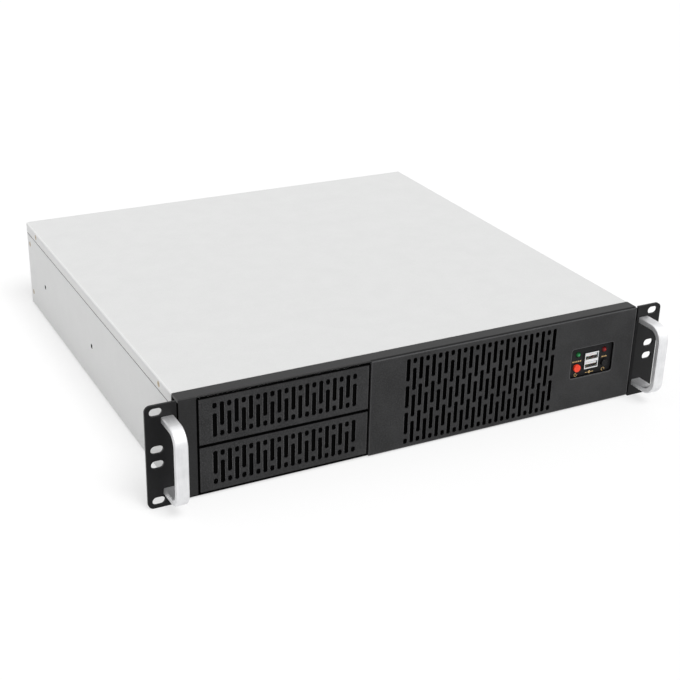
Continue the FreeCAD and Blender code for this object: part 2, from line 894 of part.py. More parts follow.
def ear_screws():
    screws = []
    for side in (-1, 1):
        for z in (-ear_screw_rows / 2, ear_screw_rows / 2):
            for y in (ear_screw_front, ear_screw_rear):
                seat = (side * ear_flange_outer, y, z)
                length = ear_flange_outer - collar_outer + 2 * sheet
                inward = (-side, 0, 0)
                screws.append(pan_screw(seat, inward, m4_radius, length, m4_head_radius, m4_head_height))
    return screws


def handle():
    """Right handle: a flat bar bent into a U, its edges broken, tapped at both ends."""
    top = handle_height / 2
    path = [(0, top), (-handle_reach, top), (-handle_reach, -top), (0, -top)]
    x0 = handle_x - handle_width / 2
    bar = folded(path, handle_thickness, [handle_bend, handle_bend], on_side(x0), Vector(handle_width, 0, 0))
    edges = []
    for edge in bar.Edges:
        ends = [vertex.Point for vertex in edge.Vertexes]
        at_side = abs(ends[0].x - ends[1].x) < 1e-6
        at_ear = all(abs(point.y) < 1e-6 for point in ends)
        if at_side and not at_ear:
            edges.append(edge)
    bar = bar.makeChamfer(handle_edge, edges)
    radius = m3_radius + thread_gap
    tools = [rod(radius, (handle_x, 0, z), (0, -1, 0), handle_thread_depth) for z in (-leg_z, leg_z)]
    return cut(bar, tools)


def handle_screws():
    screws = []
    for x in (-handle_x, handle_x):
        for z in (-leg_z, leg_z):
            length = ear_sheet + handle_thread_depth - sheet
            seat = (x, ear_sheet, z)
            screws.append(pan_screw(seat, (0, -1, 0), m3_radius, length, m3_head_radius, m3_head_height))
    return screws


def post_places():
    """Fixing posts of the control panel, as x and z."""
    reach = window_width / 2 + panel_margin - post_inset
    rise = window_height / 2 + panel_margin - post_inset
    return [(window_x - reach, window_rise - rise), (window_x + reach, window_rise + rise)]


def control_panel():
    """Dark moulded panel behind the window, with two posts that carry the small board."""
    reach = window_width / 2 + panel_margin
    rise = window_height / 2 + panel_margin
    y = panel_front
    outline = rectangle(window_x - reach, window_x + reach, window_rise - rise, window_rise + rise,
                        on_front(y), window_corner)
    usb_x = usb_width / 2 + fit_gap
    usb_z = usb_height / 2 + fit_gap
    holes = [
        rectangle(window_x - usb_x, window_x + usb_x, window_rise - usb_z, window_rise + usb_z, on_front(y)),
        circle(window_x - button_spread / 2, button_z, power_radius + slide_gap, y),
        circle(window_x + button_spread / 2, button_z, reset_radius + slide_gap, y),
        circle(window_x - led_spread / 2, led_z, led_radius + fit_gap, y),
        circle(window_x + led_spread / 2, led_z, led_radius + fit_gap, y),
    ]
    holes += [circle(x, z, m3_radius + hole_play, y) for x, z in post_places()]
    panel = perforated(outline, holes, Vector(0, panel_thickness, 0))
    posts = []
    for x, z in post_places():
        post = rod(post_radius, (x, panel_front + panel_thickness / 2, z), (0, 1, 0),
                   pcb_front - panel_front - panel_thickness / 2)
        posts.append(post.cut(rod(m3_radius + hole_play, (x, panel_front, z), (0, 1, 0), pcb_front)))
    return fused([panel, *posts])


def control_board():
    reach = window_width / 2 + pcb_margin
    rise = window_height / 2 + pcb_margin
    outline = rectangle(
        window_x - reach, window_x + reach, window_rise - rise, window_rise + rise, on_front(pcb_front))
    holes = [circle(x, z, m3_radius + hole_play, pcb_front) for x, z in post_places()]
    return perforated(outline, holes, Vector(0, pcb_thickness, 0))


def control_screws():
    screws = []
    for x, z in post_places():
        y = pcb_front + pcb_thickness
        length = y - frame_front - fit_gap
        screws.append(plain_screw((x, y, z), (0, -1, 0), length))
    return screws


def usb_port_middles():
    return window_rise - usb_port_pitch / 2, window_rise + usb_port_pitch / 2


def usb_socket():
    """Metal shell of the stacked double socket."""
    x0 = window_x - usb_width / 2
    x1 = window_x + usb_width / 2
    shell = box(x0, x1, usb_front, pcb_front, window_rise - usb_height / 2, window_rise + usb_height / 2)
    reach = usb_port_width / 2
    rise = usb_port_height / 2
    tools = []
    for z in usb_port_middles():
        tools.append(box(window_x - reach, window_x + reach, usb_front - sheet, usb_front + usb_port_depth,
                         z - rise, z + rise))
    return cut(shell, tools)


def usb_tongues():
    """Contact tongues of the two ports."""
    tongues = []
    for z in usb_port_middles():
        top = z + usb_port_height / 2 - tongue_drop
        front = usb_front + tongue_recess
        tongues.append(box(window_x - tongue_width / 2, window_x + tongue_width / 2, front,
                           usb_front + usb_port_depth, top - tongue_thickness, top))
    return tongues


def button(x, radius):
    """Button cap with a retaining flange and a stem that reaches into its switch."""
    flange_front = panel_back + stop_gap
    stem_end = switch_front + stem_overlap
    profile = [
        (0, button_front),
        (radius - slide_gap, button_front),
        (radius, button_front + slide_gap),
        (radius, flange_front),
        (radius + button_flange, flange_front),
        (radius + button_flange, flange_front + button_flange),
        (button_stem, flange_front + button_flange),
        (button_stem, stem_end),
        (0, stem_end),
    ]
    return turned(profile, (x, 0, button_z), (0, 1, 0))


def button_switches():
    """Push switches on the board, with a well for each button stem."""
    switches = []
    for x in (window_x - button_spread / 2, window_x + button_spread / 2):
        reach = switch_size / 2
        body = box(x - reach, x + reach, switch_front, pcb_front, button_z - reach, button_z + reach)
        depth = stem_overlap + button_travel + slide_gap
        well = rod(button_stem + slide_gap, (x, switch_front, button_z), (0, 1, 0), depth)
        switches.append(body.cut(well))
    return switches


def indicator_led(x):
    """Round lamp with its rim and two leads down to the board."""
    rim = panel_back + led_flange
    profile = []
    for ring in range(led_dome_rings):
        angle = math.pi / 2 * ring / (led_dome_rings - 1)
        profile.append((led_radius * math.sin(angle), led_front + led_radius * (1 - math.cos(angle))))
    profile += [
        (led_radius, panel_back + stop_gap),
        (led_radius + led_flange, panel_back + stop_gap),
        (led_radius + led_flange, rim + led_flange),
        (0, rim + led_flange),
    ]
    lamp = turned(profile, (x, 0, led_z), (0, 1, 0))
    leads = []
    for side in (-1, 1):
        middle = x + side * led_radius / 2
        leads.append(box(middle - led_lead / 2, middle + led_lead / 2, rim, pcb_front,
                         led_z - led_lead / 2, led_z + led_lead / 2))
    return fused([lamp, *leads])


def fan_centers():
    return left_fan_x, right_fan_x


def fan_bracket():
    """Upright plate that carries both fans, with a foot screwed to the front collar."""
    left, right = fan_centers()
    reach = fan_size / 2 + fan_bracket_margin
    y = fan_bracket_front
    outline = rectangle(left - reach, right + reach, collar_top, fan_size / 2 + sheet, on_front(y))
    holes = [circle(x, 0, fan_bore, y) for x in fan_centers()]
    for x, z in fan_hole_places():
        holes.append(circle(x, z, m3_radius + hole_play, y))
    plate = perforated(outline, holes, Vector(0, frame_sheet, 0))
    foot = box(left - reach, right + reach, collar_front, y + frame_sheet,
               collar_top, collar_top + frame_sheet)
    tools = []
    for x in fan_foot_places():
        start = (x, fan_foot_depth(), collar_top - sheet)
        tools.append(rod(m3_radius + hole_play, start, (0, 0, 1), 3 * sheet))
    return cut(fused([plate, foot]), tools)


def fan_foot_depth():
    """Depth of the screws in the fan bracket's foot."""
    return (collar_front + fan_bracket_front) / 2


def fan_foot_places():
    left, right = fan_centers()
    return [left - fan_size / 2, (left + right) / 2, right + fan_size / 2]


def fan_bracket_screws():
    screws = []
    for x in fan_foot_places():
        seat = (x, fan_foot_depth(), collar_top + frame_sheet)
        length = collar_top + frame_sheet - body_bottom - fit_gap
        head = min(m3_head_radius, (fan_bracket_front - collar_front) / 2 - thread_gap)
        screws.append(pan_screw(seat, (0, 0, -1), m3_radius, length, head, m3_head_height, False))
    return screws


def fan_hole_places():
    places = []
    for center in fan_centers():
        for dx in (-fan_hole_pitch / 2, fan_hole_pitch / 2):
            for dz in (-fan_hole_pitch / 2, fan_hole_pitch / 2):
                places.append((center + dx, dz))
    return places


def fan_screws():
    screws = []
    for x, z in fan_hole_places():
        seat = (x, fan_bracket_front, z)
        length = frame_sheet + fan_flange
        screws.append(plain_screw(seat, (0, 1, 0), length))
    return screws


def fan_frame(x):
    """Square fan housing: two flanges, a round duct, and rear struts that carry the bearing tube."""
    reach = fan_size / 2
    front = fan_front
    rear = fan_front + fan_depth
    parts = []
    for y in (front, rear - fan_flange):
        outline = rectangle(x - reach, x + reach, -reach, reach, on_front(y), fan_corner)
        holes = [circle(x, 0, fan_bore, y)]
        pitch = fan_hole_pitch / 2
        radius = m3_radius + thread_gap if y == front else fan_hole_radius
        for dx in (-pitch, pitch):
            for dz in (-pitch, pitch):
                holes.append(circle(x + dx, dz, radius, y))
        parts.append(perforated(outline, holes, Vector(0, fan_flange, 0)))
    duct = rod(fan_bore + fan_duct_wall, (x, front, 0), (0, 1, 0), fan_depth)
    parts.append(duct.cut(rod(fan_bore, (x, front, 0), (0, 1, 0), fan_depth)))
    strut_front = rear - fan_strut_depth
    struts = []
    for index in range(fan_struts):
        strut = box(x, x + fan_bore + fan_duct_wall / 2, strut_front, rear,
                    -fan_strut_width / 2, fan_strut_width / 2)
        strut.rotate(Vector(x, 0, 0), Vector(0, 1, 0), 360 * index / fan_struts + 180 / fan_struts)
        struts.append(strut)
    hub_plate = rod(fan_hub, (x, strut_front, 0), (0, 1, 0), fan_strut_depth)
    tube_front = front + fan_run_gap + fan_hub_wall + fan_run_gap
    tube = rod(fan_tube, (x, tube_front, 0), (0, 1, 0), strut_front - tube_front)
    frame = fused([*parts, *struts, hub_plate, tube])
    bore_length = strut_front + fan_strut_depth / 2 - tube_front
    return frame.cut(rod(fan_shaft + shaft_gap, (x, tube_front, 0), (0, 1, 0), bore_length))


def blade_section(x, radius, angle, middle):
    """Curved cross-section of one blade, on the flat that touches a cylinder of this radius."""
    chord = fan_blade_chord * radius / fan_bore
    spread = math.cos(math.radians(angle)) * chord / 2
    rise = math.sin(math.radians(angle)) * chord / 2
    camber = chord * fan_blade_camber
    offsets = [(-1, 0), (0, camber), (1, 0)]
    upper = []
    lower = []
    for share, lift in offsets:
        across = share * spread + lift * math.sin(math.radians(angle))
        depth = middle + share * rise - lift * math.cos(math.radians(angle))
        upper.append(Vector(x + across, depth, radius))
        lower.append(Vector(x + across, depth + fan_blade_thickness, radius))
    points = upper + lower[::-1]
    return Part.makePolygon(points + points[:1])


def fan_rotor(x):
    """Hub cup with its shaft and twisted blades, turned about Y."""
    front = fan_front + fan_run_gap
    rear = fan_front + fan_depth - fan_strut_depth - fan_run_gap
    cup = rod(fan_hub, (x, front, 0), (0, 1, 0), rear - front)
    hollow = rod(fan_hub - fan_hub_wall, (x, front + fan_hub_wall, 0), (0, 1, 0), rear - front)
    shaft = rod(fan_shaft, (x, front, 0), (0, 1, 0), fan_depth - fan_strut_depth - 2 * fan_run_gap)
    middle = (front + rear) / 2
    tip = fan_bore - fan_tip_gap
    root = blade_section(x, fan_hub - fan_hub_wall / 2, fan_root_angle, middle)
    end = blade_section(x, fan_bore, fan_tip_angle, middle)
    blade = Part.makeLoft([root, end], True, True)
    ring = rod(tip, (x, front, 0), (0, 1, 0), rear - front).cut(
        rod(fan_hub - fan_hub_wall / 2, (x, front, 0), (0, 1, 0), rear - front))
    blade = blade.common(ring)
    blades = []
    for index in range(fan_blades):
        copy = blade.copy()
        copy.rotate(Vector(x, 0, 0), Vector(0, 1, 0), 360 * index / fan_blades)
        blades.append(copy)
    return fused([cup.cut(hollow), shaft, *blades])


def rear_panel():
    """Rear panel with side returns, a top rest, and a set-in pocket for the board's sockets and slots."""
    side = half - fit_gap
    top = under_cover - cover_gap
    outline = rounded_wire(
        [(-side, body_bottom), (side, body_bottom), (side, seam_z), (strip_outer, seam_z),
         (strip_outer, top), (-strip_outer, top), (-strip_outer, seam_z), (-side, seam_z)],
        [0, 0, 0, 0, bend, bend, 0, 0], on_front(rear_inner))
    reach = psu_opening_width / 2
    rise = psu_opening_height / 2
    holes = [
        pocket_outline(0, rear_inner),
        rectangle(psu_x - reach, psu_x + reach, psu_center_rise - rise, psu_center_rise + rise,
                  on_front(rear_inner)),
    ]
    for dx in (-psu_hole_columns / 2, psu_hole_columns / 2):
        for dz in (-psu_hole_rows / 2, psu_hole_rows / 2):
            holes.append(circle(psu_x + dx, psu_center_rise + dz, psu_hole_radius, rear_inner))
    plate = perforated(outline, holes, Vector(0, sheet, 0))
    rest_side = strip_outer - lip_width - fit_gap
    rest = box(-rest_side, rest_side, body_depth - rear_return / 2, body_depth - sheet / 2, top - sheet, top)
    left = box(-return_outer, -return_outer + sheet, body_depth - rear_return, body_depth - sheet / 2,
               floor_top + bend, seam_z - 2 * sheet)
    panel = fused([plate, rest, left, mirrored(left), *slot_pocket()])
    tools = []
    for x in expansion_slots():
        start = slot_screw_seat(x, pocket_z1 - sheet / 2)
        tools.append(rod(m3_radius + thread_gap, start, (0, 0, 1), 2 * sheet))
    for end in (-1, 1):
        for z in (rear_screw_upper, rear_screw_lower):
            start = (end * half, body_depth - rear_screw_inset, z)
            tools.append(sink_tool(start, (-end, 0, 0)))
            tools.append(rod(m3_radius + thread_gap, start, (-end, 0, 0), 3 * sheet))
    return cut(panel, tools)


def pocket_outline(margin, y):
    """Outline of the set-in pocket, widened by a margin, at depth y."""
    return rectangle(
        pocket_x0 - margin, pocket_x1 + margin, pocket_z0 - margin, pocket_z1 + margin, on_front(y))


def slot_pocket():
    """Floor plate and rim of the set-in pocket."""
    y = pocket_y - sheet
    outline = pocket_outline(sheet, y)
    holes = [rectangle(io_x0, io_x1, io_z0, io_z0 + io_height, on_front(y))]
    for x in expansion_slots():
        reach = slot_opening_width / 2
        holes.append(rectangle(x - reach, x + reach, slot_z0, slot_z1, on_front(y)))
    vent_z = (io_z0 + io_height + pocket_z1) / 2
    columns = int((io_width - 2 * rear_field_margin) / vent_pitch) + 1
    vent_left = (io_x0 + io_x1) / 2 - vent_pitch * (columns - 1) / 2
    for index in range(columns):
        holes.append(vent_outline(vent_left + vent_pitch * index, vent_z, vent_long, y))
    plate = perforated(outline, holes, Vector(0, sheet, 0))
    rim = perforated(outline, [pocket_outline(0, y)], Vector(0, pocket_depth + sheet / 2, 0))
    return [plate, rim]


def expansion_slots():
    return [slot_first_x + slot_pitch * index for index in range(slot_count)]


def slot_screw_seat(x, z):
    return (x - slot_screw_offset, body_depth - pocket_depth / 2, z)


def slot_covers():
    """Blank strips over the expansion slots, each with a tab bent back over the pocket."""
    covers = []
    for x in expansion_slots():
        y0 = pocket_y - sheet - bracket_sheet
        path = [
            (y0, slot_z0 - bracket_tail),
            (y0, pocket_z1 + sheet + bracket_sheet),
            (rear_inner - fit_gap, pocket_z1 + sheet + bracket_sheet),
        ]
        place = on_side(x - bracket_width / 2)
        strip = folded(path[::-1], bracket_sheet, [0], place, Vector(bracket_width, 0, 0))
        hole = rod(m3_radius + hole_play, slot_screw_seat(x, pocket_z1), (0, 0, 1), 4 * sheet)
        covers.append(strip.cut(hole))
    return covers


def slot_cover_screws():
    screws = []
    for x in expansion_slots():
        seat = slot_screw_seat(x, pocket_z1 + sheet + bracket_sheet)
        length = sheet + bracket_sheet
        screws.append(plain_screw(seat, (0, 0, -1), length))
    return screws


def rear_panel_screws():
    screws = []
    for side in (-1, 1):
        for z in (rear_screw_upper, rear_screw_lower):
            seat = (side * half, body_depth - rear_screw_inset, z)
            screws.append(sunk_screw(seat, (-side, 0, 0), 3 * sheet))
    return screws


def standoff_places():
    """Main board fixing points, as x and y."""
    columns = [board_x1 - board_hole_edge - offset for offset in (0, board_hole_step, board_hole_span)]
    rows = [board_rear - board_row_edge - offset for offset in (0, board_row_step, board_row_span)]
    return [(x, y) for x in columns for y in rows]


def board_standoffs():
    standoffs = []
    for x, y in standoff_places():
        post = hex_prism((x, y, floor_top), (0, 0, 1), standoff_flats, standoff_height)
        stub = rod(standoff_stub, (x, y, body_bottom), (0, 0, 1), 2 * sheet)
        bore = rod(standoff_bore, (x, y, board_bottom), (0, 0, -1), standoff_bore_depth)
        standoffs.append(post.fuse(stub).cut(bore))
    return standoffs


def disk_screw_places():
    """Screws that hold the hard drive bracket to the floor, as x and y."""
    middle = (disk_x0 + disk_x1) / 2
    y = (disk_y0 + disk_y1) / 2
    places = []
    for dx in (-disk_screw_columns / 2, disk_screw_columns / 2):
        for dy in (-disk_screw_rows / 2, disk_screw_rows / 2):
            places.append((middle + dx, y + dy))
    return places


def hard_drive_bracket():
    """U-shaped bracket for drives laid across the case, with fixing holes in its two walls."""
    base = floor_top
    height = disk_count * (disk_height + disk_tier_gap) + m3_head_height
    path = [(disk_y0, base + height), (disk_y0, base), (disk_y1, base), (disk_y1, base + height)]
    bracket = folded(path, sheet, [bend, bend], on_side(disk_x0), Vector(disk_bracket_length, 0, 0))
    tools = []
    middle = (disk_x0 + disk_x1) / 2
    for tier in range(disk_count):
        z = base + sheet + m3_head_height + disk_hole_rise + tier * (disk_height + disk_tier_gap)
        for dx in (-disk_hole_span / 2, disk_hole_span / 2):
            start = (middle + dx, disk_y0 - sheet, z)
            tools.append(rod(disk_hole_radius, start, (0, 1, 0), disk_y1 - disk_y0 + 2 * sheet))
    for x, y in disk_screw_places():
        tools.append(rod(m3_radius + hole_play, (x, y, base - sheet), (0, 0, 1), 3 * sheet))
    return cut(bracket, tools)


def hard_drive_bracket_screws():
    screws = []
    for x, y in disk_screw_places():
        seat = (x, y, floor_top + sheet)
        length = sheet + foot_screw_length
        screws.append(plain_screw(seat, (0, 0, -1), length))
    return screws


def build():
    """Every piece of the case by its node name."""
    lower, upper = bay_cover_bottoms()
    left_fan, right_fan = fan_centers()
    power_x = window_x - button_spread / 2
    reset_x = window_x + button_spread / 2
    right_ear = rack_ear()
    right_handle = handle()
    return {
        "chassis_base": chassis_base(),
        "top_cover": top_cover(),
        "cover_screws": cover_screws(),
        "cover_nuts": cover_nuts(),
        "front_frame": front_frame(),
        "front_plate": front_plate(),
        "front_plate_nuts": front_plate_nuts(),
        "upper_bay_cover": bay_cover(upper, True),
        "lower_bay_cover": bay_cover(lower, False),
        "bay_cover_screws": bay_cover_screws(),
        "drive_cage": drive_cage(),
        "drive_cage_screws": drive_cage_screws(),
        "left_rack_ear": mirrored(right_ear),
        "right_rack_ear": right_ear,
        "ear_screws": ear_screws(),
        "left_handle": mirrored(right_handle),
        "right_handle": right_handle,
        "handle_screws": handle_screws(),
        "control_panel": control_panel(),
        "control_board": control_board(),
        "control_screws": control_screws(),
        "usb_socket": usb_socket(),
        "usb_tongues": usb_tongues(),
        "power_button": button(power_x, power_radius),
        "reset_button": button(reset_x, reset_radius),
        "button_switches": button_switches(),
        "power_led": indicator_led(window_x - led_spread / 2),
        "disk_led": indicator_led(window_x + led_spread / 2),
        "fan_bracket": fan_bracket(),
        "fan_bracket_screws": fan_bracket_screws(),
        "fan_screws": fan_screws(),
        "left_fan_frame": fan_frame(left_fan),
        "right_fan_frame": fan_frame(right_fan),
        "left_fan_rotor": fan_rotor(left_fan),
        "right_fan_rotor": fan_rotor(right_fan),
        "rear_panel": rear_panel(),
        "rear_panel_screws": rear_panel_screws(),
        "slot_covers": slot_covers(),
        "slot_cover_screws": slot_cover_screws(),
        "board_standoffs": board_standoffs(),
        "hard_drive_bracket": hard_drive_bracket(),
        "hard_drive_bracket_screws": hard_drive_bracket_screws(),
    }


os.makedirs("parts", exist_ok=True)
for name, shape in build().items():
    solid = Part.makeCompound(shape) if isinstance(shape, list) else shape
    solid.exportStep(f"parts/{name}.step")
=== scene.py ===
"""Looks of an empty two-unit rackmount server case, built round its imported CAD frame."""

import logging
import math
from collections.abc import Iterable, Mapping, Sequence
from dataclasses import dataclass, replace
from enum import Enum

import bmesh
import bpy
from mathutils import Matrix, Vector


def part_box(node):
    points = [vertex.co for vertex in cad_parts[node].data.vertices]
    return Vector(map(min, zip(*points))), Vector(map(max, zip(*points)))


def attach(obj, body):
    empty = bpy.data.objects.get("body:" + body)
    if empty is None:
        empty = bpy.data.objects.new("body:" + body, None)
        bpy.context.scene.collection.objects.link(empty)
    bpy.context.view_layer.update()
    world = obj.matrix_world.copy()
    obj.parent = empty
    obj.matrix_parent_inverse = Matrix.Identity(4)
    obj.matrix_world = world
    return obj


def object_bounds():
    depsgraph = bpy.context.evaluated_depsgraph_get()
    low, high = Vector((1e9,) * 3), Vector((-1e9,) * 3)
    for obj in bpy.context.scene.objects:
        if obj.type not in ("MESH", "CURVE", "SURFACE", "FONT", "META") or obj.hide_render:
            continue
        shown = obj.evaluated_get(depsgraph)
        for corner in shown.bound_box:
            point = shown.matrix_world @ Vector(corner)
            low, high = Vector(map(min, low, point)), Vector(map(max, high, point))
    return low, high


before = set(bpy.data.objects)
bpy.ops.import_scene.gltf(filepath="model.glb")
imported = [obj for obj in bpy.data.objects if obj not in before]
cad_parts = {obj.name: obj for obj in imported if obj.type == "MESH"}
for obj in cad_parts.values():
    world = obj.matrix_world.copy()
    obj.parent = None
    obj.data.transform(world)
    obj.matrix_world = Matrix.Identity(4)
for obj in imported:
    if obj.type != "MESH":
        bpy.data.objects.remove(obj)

CAD_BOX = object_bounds()
log = logging.getLogger("scene")

Colour = tuple[float, float, float]
Point = tuple[float, float, float]
Limits = tuple[float, float]

MM = 0.001
MICRON = 0.000001
# Well outside the case, in metres.
FAR = 1.0
WHITE: Colour = (1.0, 1.0, 1.0)
# Lean of the rounded normal where an edge begins, and where it is in full.
EDGE_BENDS: Limits = (0.01, 0.25)


class Axis(Enum):
    """Directions of the row frame, as unit vectors."""

    X = (1.0, 0.0, 0.0)
    Y = (0.0, 1.0, 0.0)
    Z = (0.0, 0.0, 1.0)

    @property
    def vector(self) -> Vector:
        """The direction as a vector."""
        return Vector(self.value)


class Slot(Enum):
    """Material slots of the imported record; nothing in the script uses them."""

    PRINT = "standoff_brass"
    SOLDER = "socket_shell"
    SCREEN = "black_plastic"


class Socket:
    """An output of a shader node, with arithmetic that makes Math nodes."""

    def __init__(self, graph: "Graph", socket: bpy.types.NodeSocket) -> None:
        """Keeps the socket and the graph it belongs to.

        Args:
            graph: The graph that makes further nodes.
            socket: The node output that is wrapped.
        """
        self.graph = graph
        self.socket = socket

    def __add__(self, other: "Value") -> "Socket":
        """Sum of the two."""
        return self.graph.math("ADD", self, other)

    def __radd__(self, other: "Value") -> "Socket":
        """Sum with a number on the left."""
        return self.graph.math("ADD", other, self)

    def __sub__(self, other: "Value") -> "Socket":
        """Difference of the two."""
        return self.graph.math("SUBTRACT", self, other)

    def __rsub__(self, other: "Value") -> "Socket":
        """Difference from a number on the left."""
        return self.graph.math("SUBTRACT", other, self)

    def __mul__(self, other: "Value") -> "Socket":
        """Product of the two."""
        return self.graph.math("MULTIPLY", self, other)

    def __rmul__(self, other: "Value") -> "Socket":
        """Product with a number on the left."""
        return self.graph.math("MULTIPLY", other, self)

    def __abs__(self) -> "Socket":
        """Absolute value."""
        return self.graph.math("ABSOLUTE", self)

    def larger(self, other: "Value") -> "Socket":
        """The larger of the two."""
        return self.graph.math("MAXIMUM", self, other)

    def toward(self, other: "Socket", share: float) -> "Socket":
        """This value with a share of the other in its place."""
        return self * (1 - share) + other * share

    def spread(self, middle: "Value", width: float) -> "Socket":
        """The middle, moved by up to half the width either way as this value goes from 0 to 1."""
        return middle + (self - 0.5) * width

    def fade(self, start: float, end: float) -> "Socket":
        """Smooth change from 0 to 1 while the value goes from start to end.

        Args:
            start: Value where the change starts.
            end: Value where it ends.

        Returns:
            The faded value, held at 0 and 1 outside the range.
        """
        inputs = {"Value": self, "From Min": start, "From Max": end}
        return self.graph.node("ShaderNodeMapRange", {"interpolation_type": "SMOOTHSTEP"}, inputs)

    def scaled(self, factors: Point) -> "Socket":
        """This vector multiplied by one factor for each axis."""
        return self.graph.vector_math("MULTIPLY", self, factors)

    def dot(self, other: "Value") -> "Socket":
        """Scalar product of two vectors."""
        return self.graph.vector_math("DOT_PRODUCT", self, other, output="Value")

    def part(self, axis: Axis) -> "Socket":
        """This vector's share along one axis."""
        return self.dot(axis.value)


Value = Socket | float | Sequence[float]
Inputs = Mapping[str | int, Value]


class Graph:
    """Node tree of one material or world."""

    # Numbers of the Mix node's sockets for colours.
    mix_factor, mix_first, mix_second, mix_result = 0, 6, 7, 2

    def __init__(self, owner: bpy.types.Material | bpy.types.World) -> None:
        """Empties the owner's node tree.

        Args:
            owner: The material or world whose tree is built.
        """
        owner.use_nodes = True
        self.tree = owner.node_tree
        self.tree.nodes.clear()

    def feed(self, target: bpy.types.NodeSocket, value: Value) -> None:
        """Links or sets one input.

        Args:
            target: The node input.
            value: A socket to link, or a number, vector or colour to set.
        """
        if isinstance(value, Socket):
            self.tree.links.new(value.socket, target)
        elif target.type == "RGBA" and len(value) == 3:
            target.default_value = (*value, 1.0)
        else:
            target.default_value = value

    def node(
        self,
        kind: str,
        settings: Mapping[str, object] | None = None,
        inputs: Inputs | None = None,
        output: str | int = 0,
    ) -> Socket:
        """Makes a node, with its settings set before its inputs.

        Args:
            kind: Blender's name of the node type.
            settings: Properties of the node.
            inputs: Values or links of its inputs, by name or number.
            output: Name or number of the output that is returned.

        Returns:
            The chosen output.
        """
        made = self.tree.nodes.new(kind)
        for name, value in (settings or {}).items():
            setattr(made, name, value)
        for name, value in (inputs or {}).items():
            self.feed(made.inputs[name], value)
        return Socket(self, made.outputs[output])

    def math(self, operation: str, *values: Value) -> Socket:
        """Makes a Math node over one or two values."""
        return self.node("ShaderNodeMath", {"operation": operation}, dict(enumerate(values)))

    def vector_math(self, operation: str, *values: Value, output: str | int = 0) -> Socket:
        """Makes a Vector Math node over one or two vectors."""
        settings = {"operation": operation}
        return self.node("ShaderNodeVectorMath", settings, dict(enumerate(values)), output)

    def mix(self, factor: Value, first: Value, second: Value) -> Socket:
        """Mixes two colours.

        Args:
            factor: Share of the second colour.
            first: Colour at factor 0.
            second: Colour at factor 1.

        Returns:
            The mixed colour.
        """
        inputs = {self.mix_factor: factor, self.mix_first: first, self.mix_second: second}
        return self.node("ShaderNodeMix", {"data_type": "RGBA"}, inputs, self.mix_result)

    def place(self) -> Socket:
        """Place on the object, in metres of the row frame."""
        return self.node("ShaderNodeTexCoord", output="Object")

    def noise(
        self, place: Socket, size: float, detail: float = 2.0, roughness: float = 0.5
    ) -> Socket:
        """Noise whose blobs are about one size.

        Args:
            place: Coordinates in metres.
            size: Size of the largest blobs, in metres.
            detail: Number of finer layers.
            roughness: Strength of the finer layers.

        Returns:
            The noise, from 0 to 1.
        """
        inputs = {"Vector": place, "Scale": 1 / size, "Detail": detail, "Roughness": roughness}
        return self.node("ShaderNodeTexNoise", None, inputs)

    def cells(
        self,
        place: Socket,
        size: float,
        output: str,
        irregularity: float = 1.0,
        distance: str = "EUCLIDEAN",
    ) -> Socket:
        """Cells of about one size, each round a scattered point.

        Args:
            place: Coordinates in metres.
            size: Size of the cells, in metres.
            output: "Color" for a random colour in each cell, or "Distance" from its point.
            irregularity: Scatter of the points, from 0 for a grid to 1.
            distance: How the distance is measured, by Blender's name.

        Returns:
            The chosen output.
        """
        settings = {"feature": "F1", "distance": distance}
        inputs = {"Vector": place, "Scale": 1 / size, "Randomness": irregularity}
        return self.node("ShaderNodeTexVoronoi", settings, inputs, output)

    def face_normal(self) -> Socket:
        """Normal of the surface, without any bump."""
        return self.node("ShaderNodeNewGeometry", output="Normal")

    def rounded(self, radius: float, samples: int = 6) -> Socket:
        """Normal that runs round each sharp edge with the given radius."""
        return self.node("ShaderNodeBevel", {"samples": samples}, {"Radius": radius})

    def edge(self, rounded: Socket, bends: Limits = EDGE_BENDS) -> Socket:
        """Finds edges by the rounded normal's lean: 0 on a flat, about 0.3 on an edge.

        Args:
            rounded: The rounded normal.
            bends: Lean where the edge begins, and where it is in full.

        Returns:
            Share from 0 on a flat to 1 on an edge.
        """
        return (1.0 - rounded.dot(self.face_normal())).fade(*bends)

    def bump(self, height: Socket, distance: float, normal: Socket | None = None) -> Socket:
        """Bump with the height's full range worth one distance.

        Args:
            height: Height from 0 to 1.
            distance: Real height of the relief, in metres.
            normal: Normal that is disturbed, if not the surface's own.

        Returns:
            The disturbed normal.
        """
        inputs: dict[str | int, Value] = {"Strength": 1.0, "Distance": distance, "Height": height}
        if normal is not None:
            inputs["Normal"] = normal
        return self.node("ShaderNodeBump", None, inputs)

    def backdrop_rays(self) -> Socket:
        """One for the rays that show the backdrop: those of the camera, of gloss and of glass."""
        camera, glossy, through = (
            self.node("ShaderNodeLightPath", output=name)
            for name in ("Is Camera Ray", "Is Glossy Ray", "Is Transmission Ray"))
        return camera.larger(glossy).larger(through)

    def principled(self, inputs: Inputs) -> Socket:
        """Makes a Principled shader."""
        return self.node("ShaderNodeBsdfPrincipled", None, inputs)

    def mix_shader(self, factor: Socket, first: Socket, second: Socket) -> Socket:
        """Mixes two shaders by the share of the second."""
        return self.node("ShaderNodeMixShader", None, {0: factor, 1: first, 2: second})

    def surface(self, inputs: Inputs) -> None:
        """Ends the tree with one Principled shader of the given inputs."""
        self.node_end("ShaderNodeOutputMaterial", self.principled(inputs))

    def blend(self, factor: Socket, first: Inputs, second: Inputs) -> None:
        """Ends the tree with two Principled shaders, mixed by a factor.

        Args:
            factor: Share of the second shader.
            first: Values or links of the first shader's inputs.
            second: Values or links of the second shader's inputs.
        """
        mixed = self.mix_shader(factor, self.principled(first), self.principled(second))
        self.node_end("ShaderNodeOutputMaterial", mixed)

